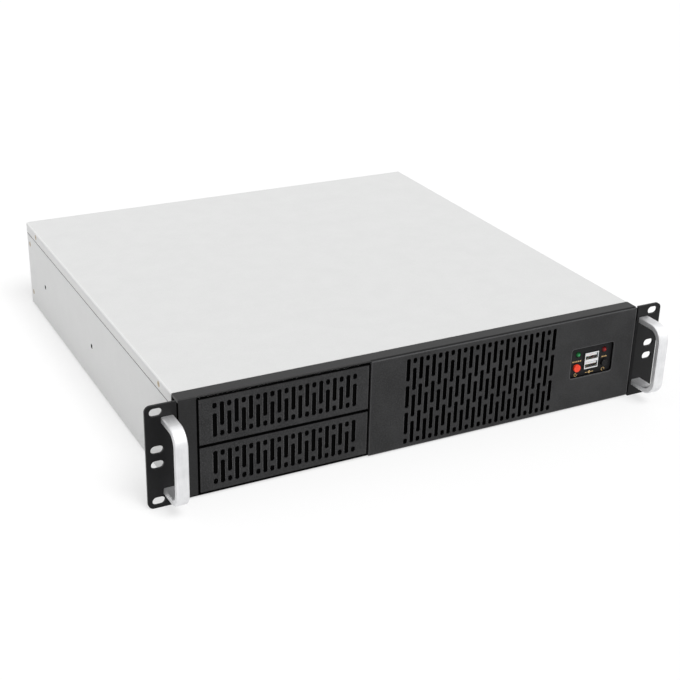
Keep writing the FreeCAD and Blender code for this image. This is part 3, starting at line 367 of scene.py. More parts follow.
    def node_end(self, kind: str, shader: Socket) -> None:
        """Links the shader to an output node."""
        end = self.tree.nodes.new(kind)
        self.tree.links.new(shader.socket, end.inputs["Surface"])


@dataclass(frozen=True)
class Band:
    """Slab of the row frame between two planes."""

    axis: Axis
    low: float
    high: float
    blur: float = 0.1 * MM

    def mask(self, place: Socket) -> Socket:
        """One inside the slab and zero outside it.

        Args:
            place: Coordinates in metres.

        Returns:
            The mask, with soft ends.
        """
        middle = (self.low + self.high) / 2
        reach = (self.high - self.low) / 2
        return abs(place.part(self.axis) - middle).fade(reach + self.blur, reach)


Region = tuple[Band, ...]


def region_mask(place: Socket, regions: Sequence[Region]) -> Socket | float:
    """One inside any of the regions, each the overlap of its bands.

    Args:
        place: Coordinates in metres.
        regions: The regions.

    Returns:
        The mask, or zero without regions.
    """
    total: Socket | float = 0.0
    for region in regions:
        inside = math.prod((band.mask(place) for band in region), start=1.0)
        total = inside + total - inside * total
    return total


@dataclass(frozen=True)
class Finish:
    """Base of the finishes: a named material that is made once."""

    name: str

    def material(self) -> bpy.types.Material:
        """Makes the material, or finds it.

        Returns:
            The finish's material.
        """
        made = bpy.data.materials.get(self.name)
        if made is None:
            made = bpy.data.materials.new(self.name)
            self.shade(Graph(made))
        return made

    def shade(self, graph: Graph) -> None:
        """Builds the node tree. Each finish has its own."""
        raise NotImplementedError


@dataclass(frozen=True)
class PowderCoat(Finish):
    """Baked powder paint: fine pebbled relief, soft mottling, and paler edges that are partly
    rubbed and partly a painted highlight.

    Painted shade, a flat black, covers the walls and rims of punched holes inside cut_shade_region,
    and all of dark.
    The edge colour covers all of highlight_regions as a painted highlight.
    """

    high: Colour
    low: Colour
    rub_and_highlight_colour: Colour
    grain: float = 0.55 * MM
    speck_scale: float = 0.5
    cloud_scale: float = 28.0
    cloud_share: float = 0.35
    mottle: Limits = (0.36, 0.64)
    glint: Limits = (0.66, 0.78)
    glint_share: float = 0.35
    relief: float = 14 * MICRON
    roughness: float = 0.5
    roughness_swing: float = 0.25
    gloss: float = 0.5
    edge_radius: float = 0.3 * MM
    edge_bends: Limits = EDGE_BENDS
    edge_share: float = 0.5
    highlight_regions: Sequence[Region] = ()
    cut_shade_region: Sequence[Region] = ()
    cut_axis: Axis = Axis.Y
    cut_lean: Limits = (0.3, 0.7)
    lip_axis: Axis = Axis.X
    lip_radius: float = 1.8 * MM
    lip_samples: int = 16
    lip_sides: Limits = (0.42, 0.56)
    lip_ends: Limits = (0.05, 0.11)
    dark: Sequence[Region] = ()
    painted_shade_share: float = 1.0
    painted_shade_colour: Colour = (0.002, 0.002, 0.002)

    def shade(self, graph: Graph) -> None:
        """Builds the paint, and painted shade in a flat black where the sheet has cuts or gaps."""
        place = graph.place()
        paint = self.paint(graph, place)
        if self.cut_shade_region or self.dark:
            # Painted shade: a flat black with no gloss.
            painted_shade = {"Base Color": self.painted_shade_colour, "Roughness": 1.0, "Specular IOR Level": 0.0}
            graph.blend(self.depth(graph, place), paint, painted_shade)
        else:
            graph.surface(paint)

    def paint(self, graph: Graph, place: Socket) -> Inputs:
        """Builds the paint from three sizes of noise, paler on edges (rubbing and painted
        highlight) and in highlight_regions (painted highlight).

        Args:
            graph: The graph that makes the nodes.
            place: Coordinates in metres.

        Returns:
            Inputs of the paint's shader.
        """
        pebbles = graph.noise(place, self.grain, roughness=0.55)
        specks = graph.noise(place, self.grain * self.speck_scale, detail=1.0)
        cloud = graph.noise(place, self.grain * self.cloud_scale, detail=3.0, roughness=0.6)
        rounded = graph.rounded(self.edge_radius)
        tone = pebbles.toward(cloud, self.cloud_share).fade(*self.mottle)
        painted = graph.mix(tone, self.low, self.high)
        flecked = graph.mix(specks.fade(*self.glint) * self.glint_share, painted, self.rub_and_highlight_colour)
        # Paler edges: partly rubbing, partly a painted highlight.
        rubbed = graph.edge(rounded, self.edge_bends) * self.edge_share
        worn_and_highlit = graph.mix(rubbed, flecked, self.rub_and_highlight_colour)
        return {
            # Painted highlight over highlight_regions.
            "Base Color": graph.mix(region_mask(place, self.highlight_regions), worn_and_highlit, self.rub_and_highlight_colour),
            "Roughness": pebbles.spread(self.roughness, self.roughness_swing),
            "Specular IOR Level": self.gloss,
            "Normal": graph.bump(pebbles, self.relief, rounded),
        }

    def depth(self, graph: Graph, place: Socket) -> Socket:
        """Finds where shade is painted: cut walls, punched rims and dark gaps.

        Args:
            graph: The graph that makes the nodes.
            place: Coordinates in metres.

        Returns:
            Share of the painted shade.
        """
        wall_shade = 1.0 - abs(graph.face_normal().part(self.cut_axis)).fade(*self.cut_lean)
        cut = wall_shade.larger(self.lip_shade(graph)) * region_mask(place, self.cut_shade_region)
        return cut.larger(region_mask(place, self.dark) * self.painted_shade_share)

    def lip_shade(self, graph: Graph) -> Socket:
        """Painted shade on the rolled rim of a punched edge, wider at the ends of upright slots."""
        lean = graph.rounded(self.lip_radius, self.lip_samples)
        side = abs(lean.part(self.lip_axis)).fade(*self.lip_sides)
        end = abs(lean.part(Axis.Z)).fade(*self.lip_ends)
        return side.larger(end)


@dataclass(frozen=True)
class Aluminium(Finish):
    """Satin aluminium bar, its grain running along the bent bar."""

    colour: Colour
    shade_colour: Colour
    bend_start: float
    bend_end: float
    rub_and_highlight_colour: Colour = (0.95, 0.95, 0.95)
    edge_radius: float = 0.35 * MM
    edge_share: float = 0.5
    grain: float = 0.16 * MM
    stretch: float = 0.012
    cloud: float = 9 * MM
    cloud_share: float = 0.4
    contrast: Limits = (0.3, 0.7)
    scuff: float = 1.6 * MM
    scuff_stretch: Point = (0.6, 1.0, 0.25)
    scuff_range: Limits = (0.58, 0.72)
    scuff_roughness: float = 0.06
    relief: float = 3 * MICRON
    roughness: float = 0.5
    roughness_swing: float = 0.22
    metallic: float = 0.86

    def shade(self, graph: Graph) -> None:
        """Mixes a grain along the legs with one along the grip."""
        place = graph.place()
        along_legs, along_grip = (
            graph.noise(place.scaled(stretch), self.grain, detail=3.0, roughness=0.7)
            for stretch in ((1.0, self.stretch, 1.0), (1.0, 1.0, self.stretch)))
        grip = (0.0 - place.part(Axis.Y)).fade(self.bend_start, self.bend_end)
        streaks = along_legs + (along_grip - along_legs) * grip
        cloud = graph.noise(place, self.cloud)
        stretched = place.scaled(self.scuff_stretch)
        scuffs = graph.noise(stretched, self.scuff, detail=4.0, roughness=0.7)
        rounded = graph.rounded(self.edge_radius)
        tone = streaks.toward(cloud, self.cloud_share).fade(*self.contrast)
        satin = graph.mix(tone, self.shade_colour, self.colour)
        brushed = streaks.spread(self.roughness, self.roughness_swing)
        graph.surface({
            # Paler edges: partly rubbing, partly a painted highlight.
            "Base Color": graph.mix(graph.edge(rounded) * self.edge_share, satin, self.rub_and_highlight_colour),
            "Metallic": self.metallic,
            "Roughness": brushed + scuffs.fade(*self.scuff_range) * self.scuff_roughness,
            "Normal": graph.bump(streaks, self.relief, rounded),
        })


@dataclass(frozen=True)
class ZincPlate(Finish):
    """Yellow-passivated zinc, with the pale and brassy patches of the bath."""

    pale: Colour = (0.46, 0.41, 0.31)
    brassy: Colour = (0.36, 0.25, 0.12)
    rubbed: Colour = (0.85, 0.82, 0.74)
    rub_share: float = 0.4
    edge_radius: float = 0.15 * MM
    patch: float = 1.4 * MM
    patch_range: Limits = (0.35, 0.65)
    grit: float = 0.15 * MM
    relief: float = 4 * MICRON
    roughness: float = 0.32
    roughness_swing: float = 0.25

    def shade(self, graph: Graph) -> None:
        """Mixes the two tones in soft patches."""
        place = graph.place()
        patches = graph.noise(place, self.patch, detail=3.0, roughness=0.6).fade(*self.patch_range)
        grit = graph.noise(place, self.grit)
        rounded = graph.rounded(self.edge_radius)
        colour = graph.mix(patches, self.pale, self.brassy)
        graph.surface({
            "Base Color": graph.mix(graph.edge(rounded) * self.rub_share, colour, self.rubbed),
            "Metallic": 1.0,
            "Roughness": grit.spread(self.roughness, self.roughness_swing),
            "Normal": graph.bump(grit, self.relief, rounded),
        })


@dataclass(frozen=True)
class GalvanisedSteel(Finish):
    """Bare galvanised sheet with its crystal spangle and rolling lines."""

    light: Colour = (0.66, 0.67, 0.68)
    dark: Colour = (0.50, 0.51, 0.53)
    rubbed: Colour = (0.80, 0.80, 0.81)
    rub_share: float = 0.5
    edge_radius: float = 0.2 * MM
    crystal: float = 3.5 * MM
    crystal_stretch: Point = (1.0, 0.7, 1.0)
    crystal_share: float = 0.55
    crystal_swing: float = 0.16
    warp: float = 2.5 * MM
    warp_share: float = 0.25
    line: float = 0.25 * MM
    line_stretch: Point = (1.0, 0.02, 1.0)
    line_share: float = 0.2
    line_swing: float = 0.1
    contrast: Limits = (0.2, 0.8)
    relief: float = 2 * MICRON
    roughness: float = 0.36

    def shade(self, graph: Graph) -> None:
        """Gives each crystal its own tone and gloss."""
        place = graph.place()
        warp = graph.noise(place, self.warp)
        cells = graph.cells(place.scaled(self.crystal_stretch), self.crystal, "Color").part(Axis.X)
        rolled = graph.noise(place.scaled(self.line_stretch), self.line)
        rounded = graph.rounded(self.edge_radius)
        tone = cells * self.crystal_share + warp * self.warp_share + rolled * self.line_share
        colour = graph.mix(tone.fade(*self.contrast), self.dark, self.light)
        rough = cells.spread(self.roughness, self.crystal_swing)
        graph.surface({
            "Base Color": graph.mix(graph.edge(rounded) * self.rub_share, colour, self.rubbed),
            "Metallic": 1.0,
            "Roughness": rolled.spread(rough, self.line_swing),
            "Normal": graph.bump(rolled, self.relief, rounded),
        })


@dataclass(frozen=True)
class Moulding(Finish):
    """Moulded plastic with a spark-eroded grain, or a gloss where the grain is low."""

    colour: Colour
    pale: Colour
    grain: float = 0.25 * MM
    grain_share: float = 0.25
    flow: float = 6 * MM
    flow_range: Limits = (0.3, 0.7)
    flow_share: float = 0.35
    edge_radius: float = 0.2 * MM
    edge_share: float = 0.4
    relief: float = 8 * MICRON
    roughness: float = 0.5
    roughness_swing: float = 0.2
    gloss: float = 0.5
    coat: float = 0.0
    coat_roughness: float = 0.08
    scatter: float = 0.0
    scatter_depth: float = 0.6 * MM

    def shade(self, graph: Graph) -> None:
        """Builds the grain, a faint flow cloud and paler edges."""
        place = graph.place()
        grain = graph.noise(place, self.grain, roughness=0.6)
        flow = graph.noise(place, self.flow).fade(*self.flow_range)
        rounded = graph.rounded(self.edge_radius)
        edge = graph.edge(rounded)
        share = flow * self.flow_share + grain * self.grain_share + edge * self.edge_share
        graph.surface({
            "Base Color": graph.mix(share, self.colour, self.pale),
            "Roughness": grain.spread(self.roughness, self.roughness_swing),
            "Specular IOR Level": self.gloss,
            "Coat Weight": self.coat,
            "Coat Roughness": self.coat_roughness,
            "Subsurface Weight": self.scatter,
            "Subsurface Scale": self.scatter_depth,
            "Normal": graph.bump(grain, self.relief, rounded),
        })


@dataclass(frozen=True)
class Lamp(Finish):
    """Tinted lamp moulding with a brighter core: the chip cup inside it, lightened as a painted
    highlight.
    """

    colour: Colour
    core: Colour
    center: Point
    reach: float
    core_highlight_share: float = 0.75
    swirl: float = 0.8 * MM
    swirl_share: float = 0.15
    roughness: float = 0.14
    roughness_swing: float = 0.08
    gloss: float = 0.2
    coat: float = 0.08
    coat_roughness: float = 0.05
    scatter: float = 0.35
    scatter_depth: float = 0.8 * MM

    def shade(self, graph: Graph) -> None:
        """Brightens the tint towards the lamp's middle line as a painted highlight."""
        place = graph.place()
        offset = graph.vector_math("SUBTRACT", place, self.center).scaled((1.0, 0.0, 1.0))
        distance = graph.vector_math("LENGTH", offset, output="Value")
        swirl = graph.noise(place, self.swirl)
        share = distance.fade(self.reach, 0.0) * self.core_highlight_share + swirl * self.swirl_share
        graph.surface({
            "Base Color": graph.mix(share, self.colour, self.core),
            "Roughness": swirl.spread(self.roughness, self.roughness_swing),
            "Specular IOR Level": self.gloss,
            "Coat Weight": self.coat,
            "Coat Roughness": self.coat_roughness,
            "Subsurface Weight": self.scatter,
            "Subsurface Scale": self.scatter_depth,
        })


@dataclass(frozen=True)
class CircuitBoard(Finish):
    """Green solder resist over copper tracks and a woven glass core."""

    resist: Colour = (0.015, 0.12, 0.05)
    track: Colour = (0.03, 0.22, 0.09)
    core: Colour = (0.45, 0.42, 0.20)
    pitch: float = 2.2 * MM
    irregularity: float = 0.75
    track_start: Limits = (0.30, 0.34)
    track_end: Limits = (0.46, 0.50)
    weave: float = 0.3 * MM
    weave_share: float = 0.2
    cut_lean: Limits = (0.5, 0.8)
    cut_roughness: float = 0.4
    relief: float = 20 * MICRON
    roughness: float = 0.28
    roughness_swing: float = 0.1
    coat: float = 0.3
    coat_roughness: float = 0.1

    def shade(self, graph: Graph) -> None:
        """Draws square-cornered tracks in bands and a pale cut edge."""
        place = graph.place()
        cells = graph.cells(place, self.pitch, "Distance", self.irregularity, "CHEBYCHEV")
        tracks = cells.fade(*self.track_start) * (1.0 - cells.fade(*self.track_end))
        weave = graph.noise(place, self.weave, detail=1.0)
        cut_edge = 1.0 - abs(graph.face_normal().part(Axis.Y)).fade(*self.cut_lean)
        top = graph.mix(tracks, self.resist, self.track)
        rough = self.roughness + cut_edge * self.cut_roughness
        graph.surface({
            "Base Color": graph.mix(cut_edge, top, self.core),
            "Roughness": weave.spread(rough, self.roughness_swing),
            "Coat Weight": self.coat,
            "Coat Roughness": self.coat_roughness,
            "Normal": graph.bump(tracks.toward(weave, self.weave_share), self.relief),
        })


@dataclass(frozen=True)
class PlatedMetal(Finish):
    """Plated or turned metal with fine drawing lines along one direction."""

    colour: Colour
    dark: Colour
    line_stretch: Point
    line: float = 0.12 * MM
    line_share: float = 0.3
    line_swing: float = 0.16
    stain: float = 2.5 * MM
    stain_range: Limits = (0.4, 0.75)
    stain_share: float = 0.5
    stain_roughness: float = 0.06
    edge_radius: float = 0.12 * MM
    roughness: float = 0.2
    relief: float = 2 * MICRON

    def shade(self, graph: Graph) -> None:
        """Builds fine lines, faint stains and rounded edges."""
        place = graph.place()
        lines = graph.noise(place.scaled(self.line_stretch), self.line, roughness=0.6)
        stains = graph.noise(place, self.stain, detail=3.0).fade(*self.stain_range)
        share = stains * self.stain_share + lines * self.line_share
        rough = lines.spread(self.roughness, self.line_swing)
        graph.surface({
            "Base Color": graph.mix(share, self.colour, self.dark),
            "Metallic": 1.0,
            "Roughness": rough + stains * self.stain_roughness,
            "Normal": graph.bump(lines, self.relief, graph.rounded(self.edge_radius)),
        })


@dataclass(frozen=True)
class WovenScreen(Finish):
    """Fine black woven dust screen, so nearly black that it also paints the shade inside the case.
    """

    thread: Colour = (0.003, 0.003, 0.003)
    hole: Colour = (0.0008, 0.0008, 0.0008)
    pitch: float = 0.6 * MM
    crossing: Limits = (-0.6, 0.6)
    relief: float = 40 * MICRON
    roughness: float = 0.9
    roughness_swing: float = 0.1
    gloss: float = 0.02

    def shade(self, graph: Graph) -> None:
        """Crosses two sets of threads."""
        place = graph.place()
        turns = math.tau / self.pitch
        across, upright = (
            graph.math("SINE", place.part(axis) * turns) for axis in (Axis.X, Axis.Z))
        weave = (across * upright).fade(*self.crossing)
        graph.surface({
            "Base Color": graph.mix(weave, self.hole, self.thread),
            "Roughness": weave.spread(self.roughness, self.roughness_swing),
            "Specular IOR Level": self.gloss,
            "Normal": graph.bump(weave, self.relief),
        })


@dataclass(frozen=True)
class Floor(Finish):
    """Plain pale studio floor, seen white where no shadow falls."""

    colour: Colour = (0.98, 0.98, 0.98)
    grain_colour: Colour = (0.97, 0.97, 0.97)
    grain: float = 3 * MM
    grain_share: float = 0.5
    roughness: float = 0.5
    whiteness: float = 0.6

    def shade(self, graph: Graph) -> None:
        """Builds a matt floor with a faint paper grain, lifted to white for direct sight."""
        grain = graph.noise(graph.place(), self.grain)
        paper = graph.mix(grain * self.grain_share, self.colour, self.grain_colour)
        inputs = {"Color": paper, "Roughness": self.roughness}
        matt = graph.node("ShaderNodeBsdfDiffuse", None, inputs)
        white = graph.node("ShaderNodeEmission", None, {"Color": WHITE, "Strength": 1.0})
        seen = graph.mix_shader(graph.backdrop_rays() * self.whiteness, matt, white)
        graph.node_end("ShaderNodeOutputMaterial", seen)


def dress(nodes: Iterable[str], finish: Finish) -> None:
    """Gives CAD nodes one finish.

    Args:
        nodes: Names of the nodes.
        finish: The finish they get.
    """
    material = finish.material()
    for name in nodes:
        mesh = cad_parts[name].data
        mesh.materials.clear()
        mesh.materials.append(material)
        log.info("dressed %s in %s", name, finish.name)


def add_piece(name: str, mesh: bpy.types.Mesh, finish: Finish, body: str) -> None:
    """Adds a new piece that rides on a CAD body.

    Args:
        name: Name of the piece.
        mesh: Its mesh, in the row frame.
        finish: Its finish.
        body: The body it rides on.
    """
    mesh.materials.append(finish.material())
    made = bpy.data.objects.new(name, mesh)
    bpy.context.scene.collection.objects.link(made)
    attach(made, body)
    log.info("added %s on %s", name, body)


Row = Sequence[bmesh.types.BMVert]


class Shape:
    """Mesh made of simple raised forms, each a closed shell of its own."""

    def __init__(self) -> None:
        """Starts with no form."""
        self.bm = bmesh.new()

    def block(self, low: Vector, high: Vector) -> "Shape":
        """Adds a box between two corners."""
        middle = (low + high) / 2
        size = high - low
        matrix = Matrix.Translation(middle) @ Matrix.Diagonal((*size, 1.0))
        bmesh.ops.create_cube(self.bm, size=1.0, matrix=matrix)
        return self

    def bridge(self, first: Row, second: Row) -> None:
        """Joins two closed rows of points by faces with four corners."""
        for index in range(len(first)):
            after = (index + 1) % len(first)
            self.bm.faces.new((first[index], first[after], second[after], second[index]))

    def band(
        self,
        middle: Vector,
        axis: Axis,
        inner: float,
        outer: float,
        depth: float,
        start: float = 0.0,
        sweep: float = math.tau,
        steps: int = 32,
    ) -> "Shape":
        """Adds a flat ring or a part of one.

        Args:
            middle: Middle of its front face.
            axis: Direction from the front face to the back face.
            inner: Inner radius.
            outer: Outer radius.
            depth: Thickness along the axis.
            start: Angle where it starts.
            sweep: Angle that it covers.
            steps: Number of straight runs.

        Returns:
            This shape.
        """
        along = axis.vector
        side = along.orthogonal().normalized()
        up = along.cross(side)
        closed = math.isclose(sweep, math.tau)
        profile = ((inner, 0.0), (outer, 0.0), (outer, depth), (inner, depth))
        rows = []
        for index in range(steps if closed else steps + 1):
            angle = start + sweep * index / steps
            out = side * math.cos(angle) + up * math.sin(angle)
            rows.append([self.bm.verts.new(middle + out * radius + along * deep)
                         for radius, deep in profile])
        pairs = list(zip(rows, rows[1:]))
        if closed:
            pairs.append((rows[-1], rows[0]))
        for first, second in pairs:
            self.bridge(first, second)
        if not closed:
            self.bm.faces.new(rows[0])
            self.bm.faces.new(rows[-1][::-1])
        return self

    def dome(
        self,
        seat: Vector,
        axis: Axis,
        radius: float,
        height: float,
        steps: int = 16,
        levels: int = 4,
    ) -> "Shape":
        """Adds a low dome on a seat.

        Args:
            seat: Middle of its base.
            axis: Direction in which it stands.
            radius: Radius of its base.
            height: Height of its top over the base.
            steps: Number of runs round it.
            levels: Number of rings below its top.

        Returns:
            This shape.
        """
        along = axis.vector
        side = along.orthogonal().normalized()
        up = along.cross(side)
        rings = []
        for level in range(levels):
            tilt = math.pi / 2 * level / levels
            reach = radius * math.cos(tilt)
            rise = seat + along * (height * math.sin(tilt))
            rings.append([self.bm.verts.new(rise + (side * math.cos(a) + up * math.sin(a)) * reach)
                          for a in (math.tau * i / steps for i in range(steps))])
        top = self.bm.verts.new(seat + along * height)
        for lower, upper in zip(rings, rings[1:]):
            self.bridge(lower, upper)
        for index in range(steps):
            self.bm.faces.new((rings[-1][index], rings[-1][(index + 1) % steps], top))
        self.bm.faces.new(rings[0][::-1])
        return self

    def mesh(self, name: str, smooth: bool = False) -> bpy.types.Mesh:
        """Makes the mesh and ends the shape.

        Args:
            name: Name of the mesh.
            smooth: Whether its faces are shaded smooth.

        Returns:
            The mesh.
        """
        bmesh.ops.recalc_face_normals(self.bm, faces=self.bm.faces)
        for face in self.bm.faces:
            face.smooth = smooth
        made = bpy.data.meshes.new(name)
        self.bm.to_mesh(made)
        self.bm.free()
        return made


def middle_of(node: str) -> Vector:
    """Middle of a CAD node's box."""
    low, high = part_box(node)
    return (low + high) / 2


def row_places(middle: float, count: int, pitch: float) -> list[float]:
    """Places of a row of equal steps, spread evenly about a middle."""
    return [middle + (index - (count - 1) / 2) * pitch for index in range(count)]


def tongue_height() -> float:
    """Thickness of one contact tongue, from the two lowest levels of the tongues' corners."""
    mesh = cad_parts["usb_tongues"].data
    levels = sorted({round(vertex.co.z, 6) for vertex in mesh.vertices})
    return levels[1] - levels[0]


# Paler edges: partly rubbing, partly a painted highlight.
LIGHT_PAINT = PowderCoat(
    "light_grey_powder_coat", high=(0.742, 0.745, 0.742), low=(0.705, 0.708, 0.705),
    rub_and_highlight_colour=(0.86, 0.86, 0.86), grain=0.8 * MM, relief=9 * MICRON, edge_share=0.35)
# Its pale edge colour over a wide radius paints light rims round the slots: a painted highlight,
# partly rubbing.
BLACK_PAINT = PowderCoat(
    "black_powder_coat", high=(0.027, 0.027, 0.028), low=(0.007, 0.007, 0.0075),
    rub_and_highlight_colour=(0.16, 0.16, 0.165), grain=1.1 * MM, relief=28 * MICRON,
    edge_radius=1.6 * MM, edge_share=0.6, edge_bends=(0.003, 0.025), gloss=0.33)
# Paler edges: partly rubbing, partly a painted highlight.
FRAME_PAINT = PowderCoat(
    "smooth_black_powder_coat", high=(0.011, 0.011, 0.0115), low=(0.005, 0.005, 0.0055),
    rub_and_highlight_colour=(0.10, 0.10, 0.105), grain=0.9 * MM, relief=18 * MICRON, roughness=0.46,
    edge_radius=0.4 * MM, edge_share=0.6, gloss=0.33)
# Smoother black paint for the ears, darker than the fascia's to paint the shade on the ears: partly
# painted shade. Its paler edges are partly a painted highlight.
EAR_PAINT_AND_SHADE = PowderCoat(
    "ear_black_coat_shaded", high=(0.007, 0.007, 0.0075), low=(0.0035, 0.0035, 0.004),
    rub_and_highlight_colour=(0.06, 0.06, 0.063), grain=0.9 * MM, relief=12 * MICRON, roughness=0.42,
    edge_radius=0.4 * MM, edge_share=0.5, gloss=0.2)
STEEL = GalvanisedSteel("galvanised_steel")
ZINC = ZincPlate("yellow_zinc")
SCREEN = WovenScreen("dust_and_shade_screen")
BLACK_PLASTIC = Moulding(
    "black_moulding", (0.020, 0.020, 0.022), (0.05, 0.05, 0.053), roughness=0.42)


@dataclass
class Body:
    """Light grey tray, cover and rear panel, with the screws that join them."""

    fold_highlight: float = 1.3 * MM
    seam_shadow: float = 0.65 * MM
    seam_shade_colour: Colour = (0.01, 0.01, 0.01)
    rail_hole: float = 2.0 * MM
    rail_hole_depths: Sequence[float] = (69.5 * MM, 219.5 * MM, 369.5 * MM)
    rail_hole_height: float = -5.1 * MM
    plated: Sequence[str] = ("cover_screws", "cover_nuts", "rear_panel_screws", "slot_cover_screws")

    def build(self) -> None:
        """Dresses the tray, cover, rear panel and their screws."""
        low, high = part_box("top_cover")
        # Painted highlight along the cover's two top folds, where the bends catch the light.
        top = Band(Axis.Z, high.z - self.fold_highlight, high.z)
        fold_highlights = tuple((Band(Axis.X, x - self.fold_highlight, x + self.fold_highlight), top) for x in (low.x, high.x))
        dress(("top_cover",), replace(LIGHT_PAINT, name="light_grey_cover_coat", highlight_regions=fold_highlights))
        # Painted shadow: a dark band in the seam along the cover's lower edge.
        gap = (Band(Axis.Z, low.z - self.seam_shadow, low.z + self.seam_shadow),)
        # Painted shade in the rail holes of the side walls.
        reach, height = self.rail_hole, self.rail_hole_height
        level = Band(Axis.Z, height - reach, height + reach)
        holes = tuple((Band(Axis.Y, y - reach, y + reach), level) for y in self.rail_hole_depths)
        dress(("chassis_base",), replace(
            LIGHT_PAINT, name="light_grey_tray_coat", dark=(gap,), painted_shade_colour=self.seam_shade_colour,
            cut_shade_region=holes, cut_axis=Axis.X, lip_axis=Axis.Y))
        dress(("rear_panel",), LIGHT_PAINT)
        dress(("slot_covers",), STEEL)
        dress(self.plated, ZINC)


@dataclass
class Fascia:
    """Black front frame, vent plate and the two bay covers, with near-black dust screens behind the
    vents that also paint the shade inside.
    """

    plated: Sequence[str] = ("front_plate_nuts", "bay_cover_screws")
    covers: Sequence[str] = ("upper_bay_cover", "lower_bay_cover")
    screen_depth: float = 0.5 * MM
    screen_gap: float = 0.02 * MM
    frame_thickness: float = 1.2 * MM
    cover_thickness: float = 1.0 * MM
    cover_margin: float = 3.0 * MM
    main_margin: float = 24.0 * MM
    main_right: float = 75.0 * MM
    main_edge: float = 2.6 * MM
    plate_rim: float = 2.0 * MM
    plate_highlight_share: float = 0.4
    groove_shadow: float = 3.0 * MM
    groove_shadow_share: float = 0.45

    def build(self) -> None:
        """Dresses the fascia's sheets, nuts and screws, and adds the screens."""
        # Painted shade in the cut walls and punched rims of the covers' slots, the plate's vents
        # and the frame's openings.
        everywhere = ((Band(Axis.Z, -FAR, FAR),),)
        dress(self.covers, replace(BLACK_PAINT, name="black_cover_coat", cut_shade_region=everywhere))
        low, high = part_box("front_plate")
        below_rim = Band(Axis.Z, -FAR, high.z - self.plate_rim)
        above_rim = Band(Axis.Z, low.z + self.plate_rim, FAR)
        vents = Band(Axis.X, low.x + self.plate_rim, high.x - self.main_right)
        dress(("front_plate",), replace(
            BLACK_PAINT, name="black_plate_coat", edge_share=self.plate_highlight_share,
            cut_shade_region=((below_rim, above_rim, vents),)))
        # Painted shadow in the groove between the plate's top edge and the frame's bend.
        groove_shadow = (Band(Axis.X, low.x, high.x), Band(Axis.Y, 0.0, self.groove_shadow),
                  Band(Axis.Z, high.z - self.groove_shadow, FAR))
        dress(("front_frame",), replace(
            FRAME_PAINT, cut_shade_region=((below_rim,),), dark=(groove_shadow,), painted_shade_share=self.groove_shadow_share))
        dress(self.plated, ZINC)
        self.main_screen()
        self.cover_screen()

    def main_screen(self) -> None:
        """Adds the screen behind the frame's large opening."""
        low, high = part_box("front_plate")
        front = low.y + 2 * self.frame_thickness + self.screen_gap
        shape = Shape().block(
            Vector((low.x + self.main_margin, front, low.z + self.main_edge)),
            Vector((high.x - self.main_right, front + self.screen_depth, high.z - self.main_edge)))
        add_piece("vent_screen", shape.mesh("vent_screen"), SCREEN, "case")

    def cover_screen(self) -> None:
        """Adds the one screen behind both bay covers and the gap between them, where it paints the
        shade.
        """
        low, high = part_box(self.covers[1])[0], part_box(self.covers[0])[1]
        front = low.y + self.cover_thickness + self.screen_gap
        inset = Vector((self.cover_margin, 0.0, 0.0))
        shape = Shape().block(Vector((low.x, front, low.z)) + inset,
                              Vector((high.x, front + self.screen_depth, high.z)) - inset)
        add_piece("bay_screen", shape.mesh("bay_screen"), SCREEN, "case")


@dataclass
class RackEars:
    """Rack ears with their bent handles."""

    ears: Sequence[str] = ("left_rack_ear", "right_rack_ear")
    handles: Sequence[str] = ("left_handle", "right_handle")
    screws: Sequence[str] = ("ear_screws", "handle_screws")
    bar_colour: Colour = (0.90, 0.90, 0.91)
    bar_shade: Colour = (0.74, 0.745, 0.755)
    bend_radius: float = 14 * MM

    def build(self) -> None:
        """Dresses ears, handles and screws."""
        dress(self.ears, EAR_PAINT_AND_SHADE)
        reach = -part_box(self.handles[0])[0].y
        bar = Aluminium("satin_aluminium", self.bar_colour, self.bar_shade,
                        bend_start=reach - self.bend_radius, bend_end=reach - self.bend_radius / 3)
        dress(self.handles, bar)
        dress(self.screws, ZINC)


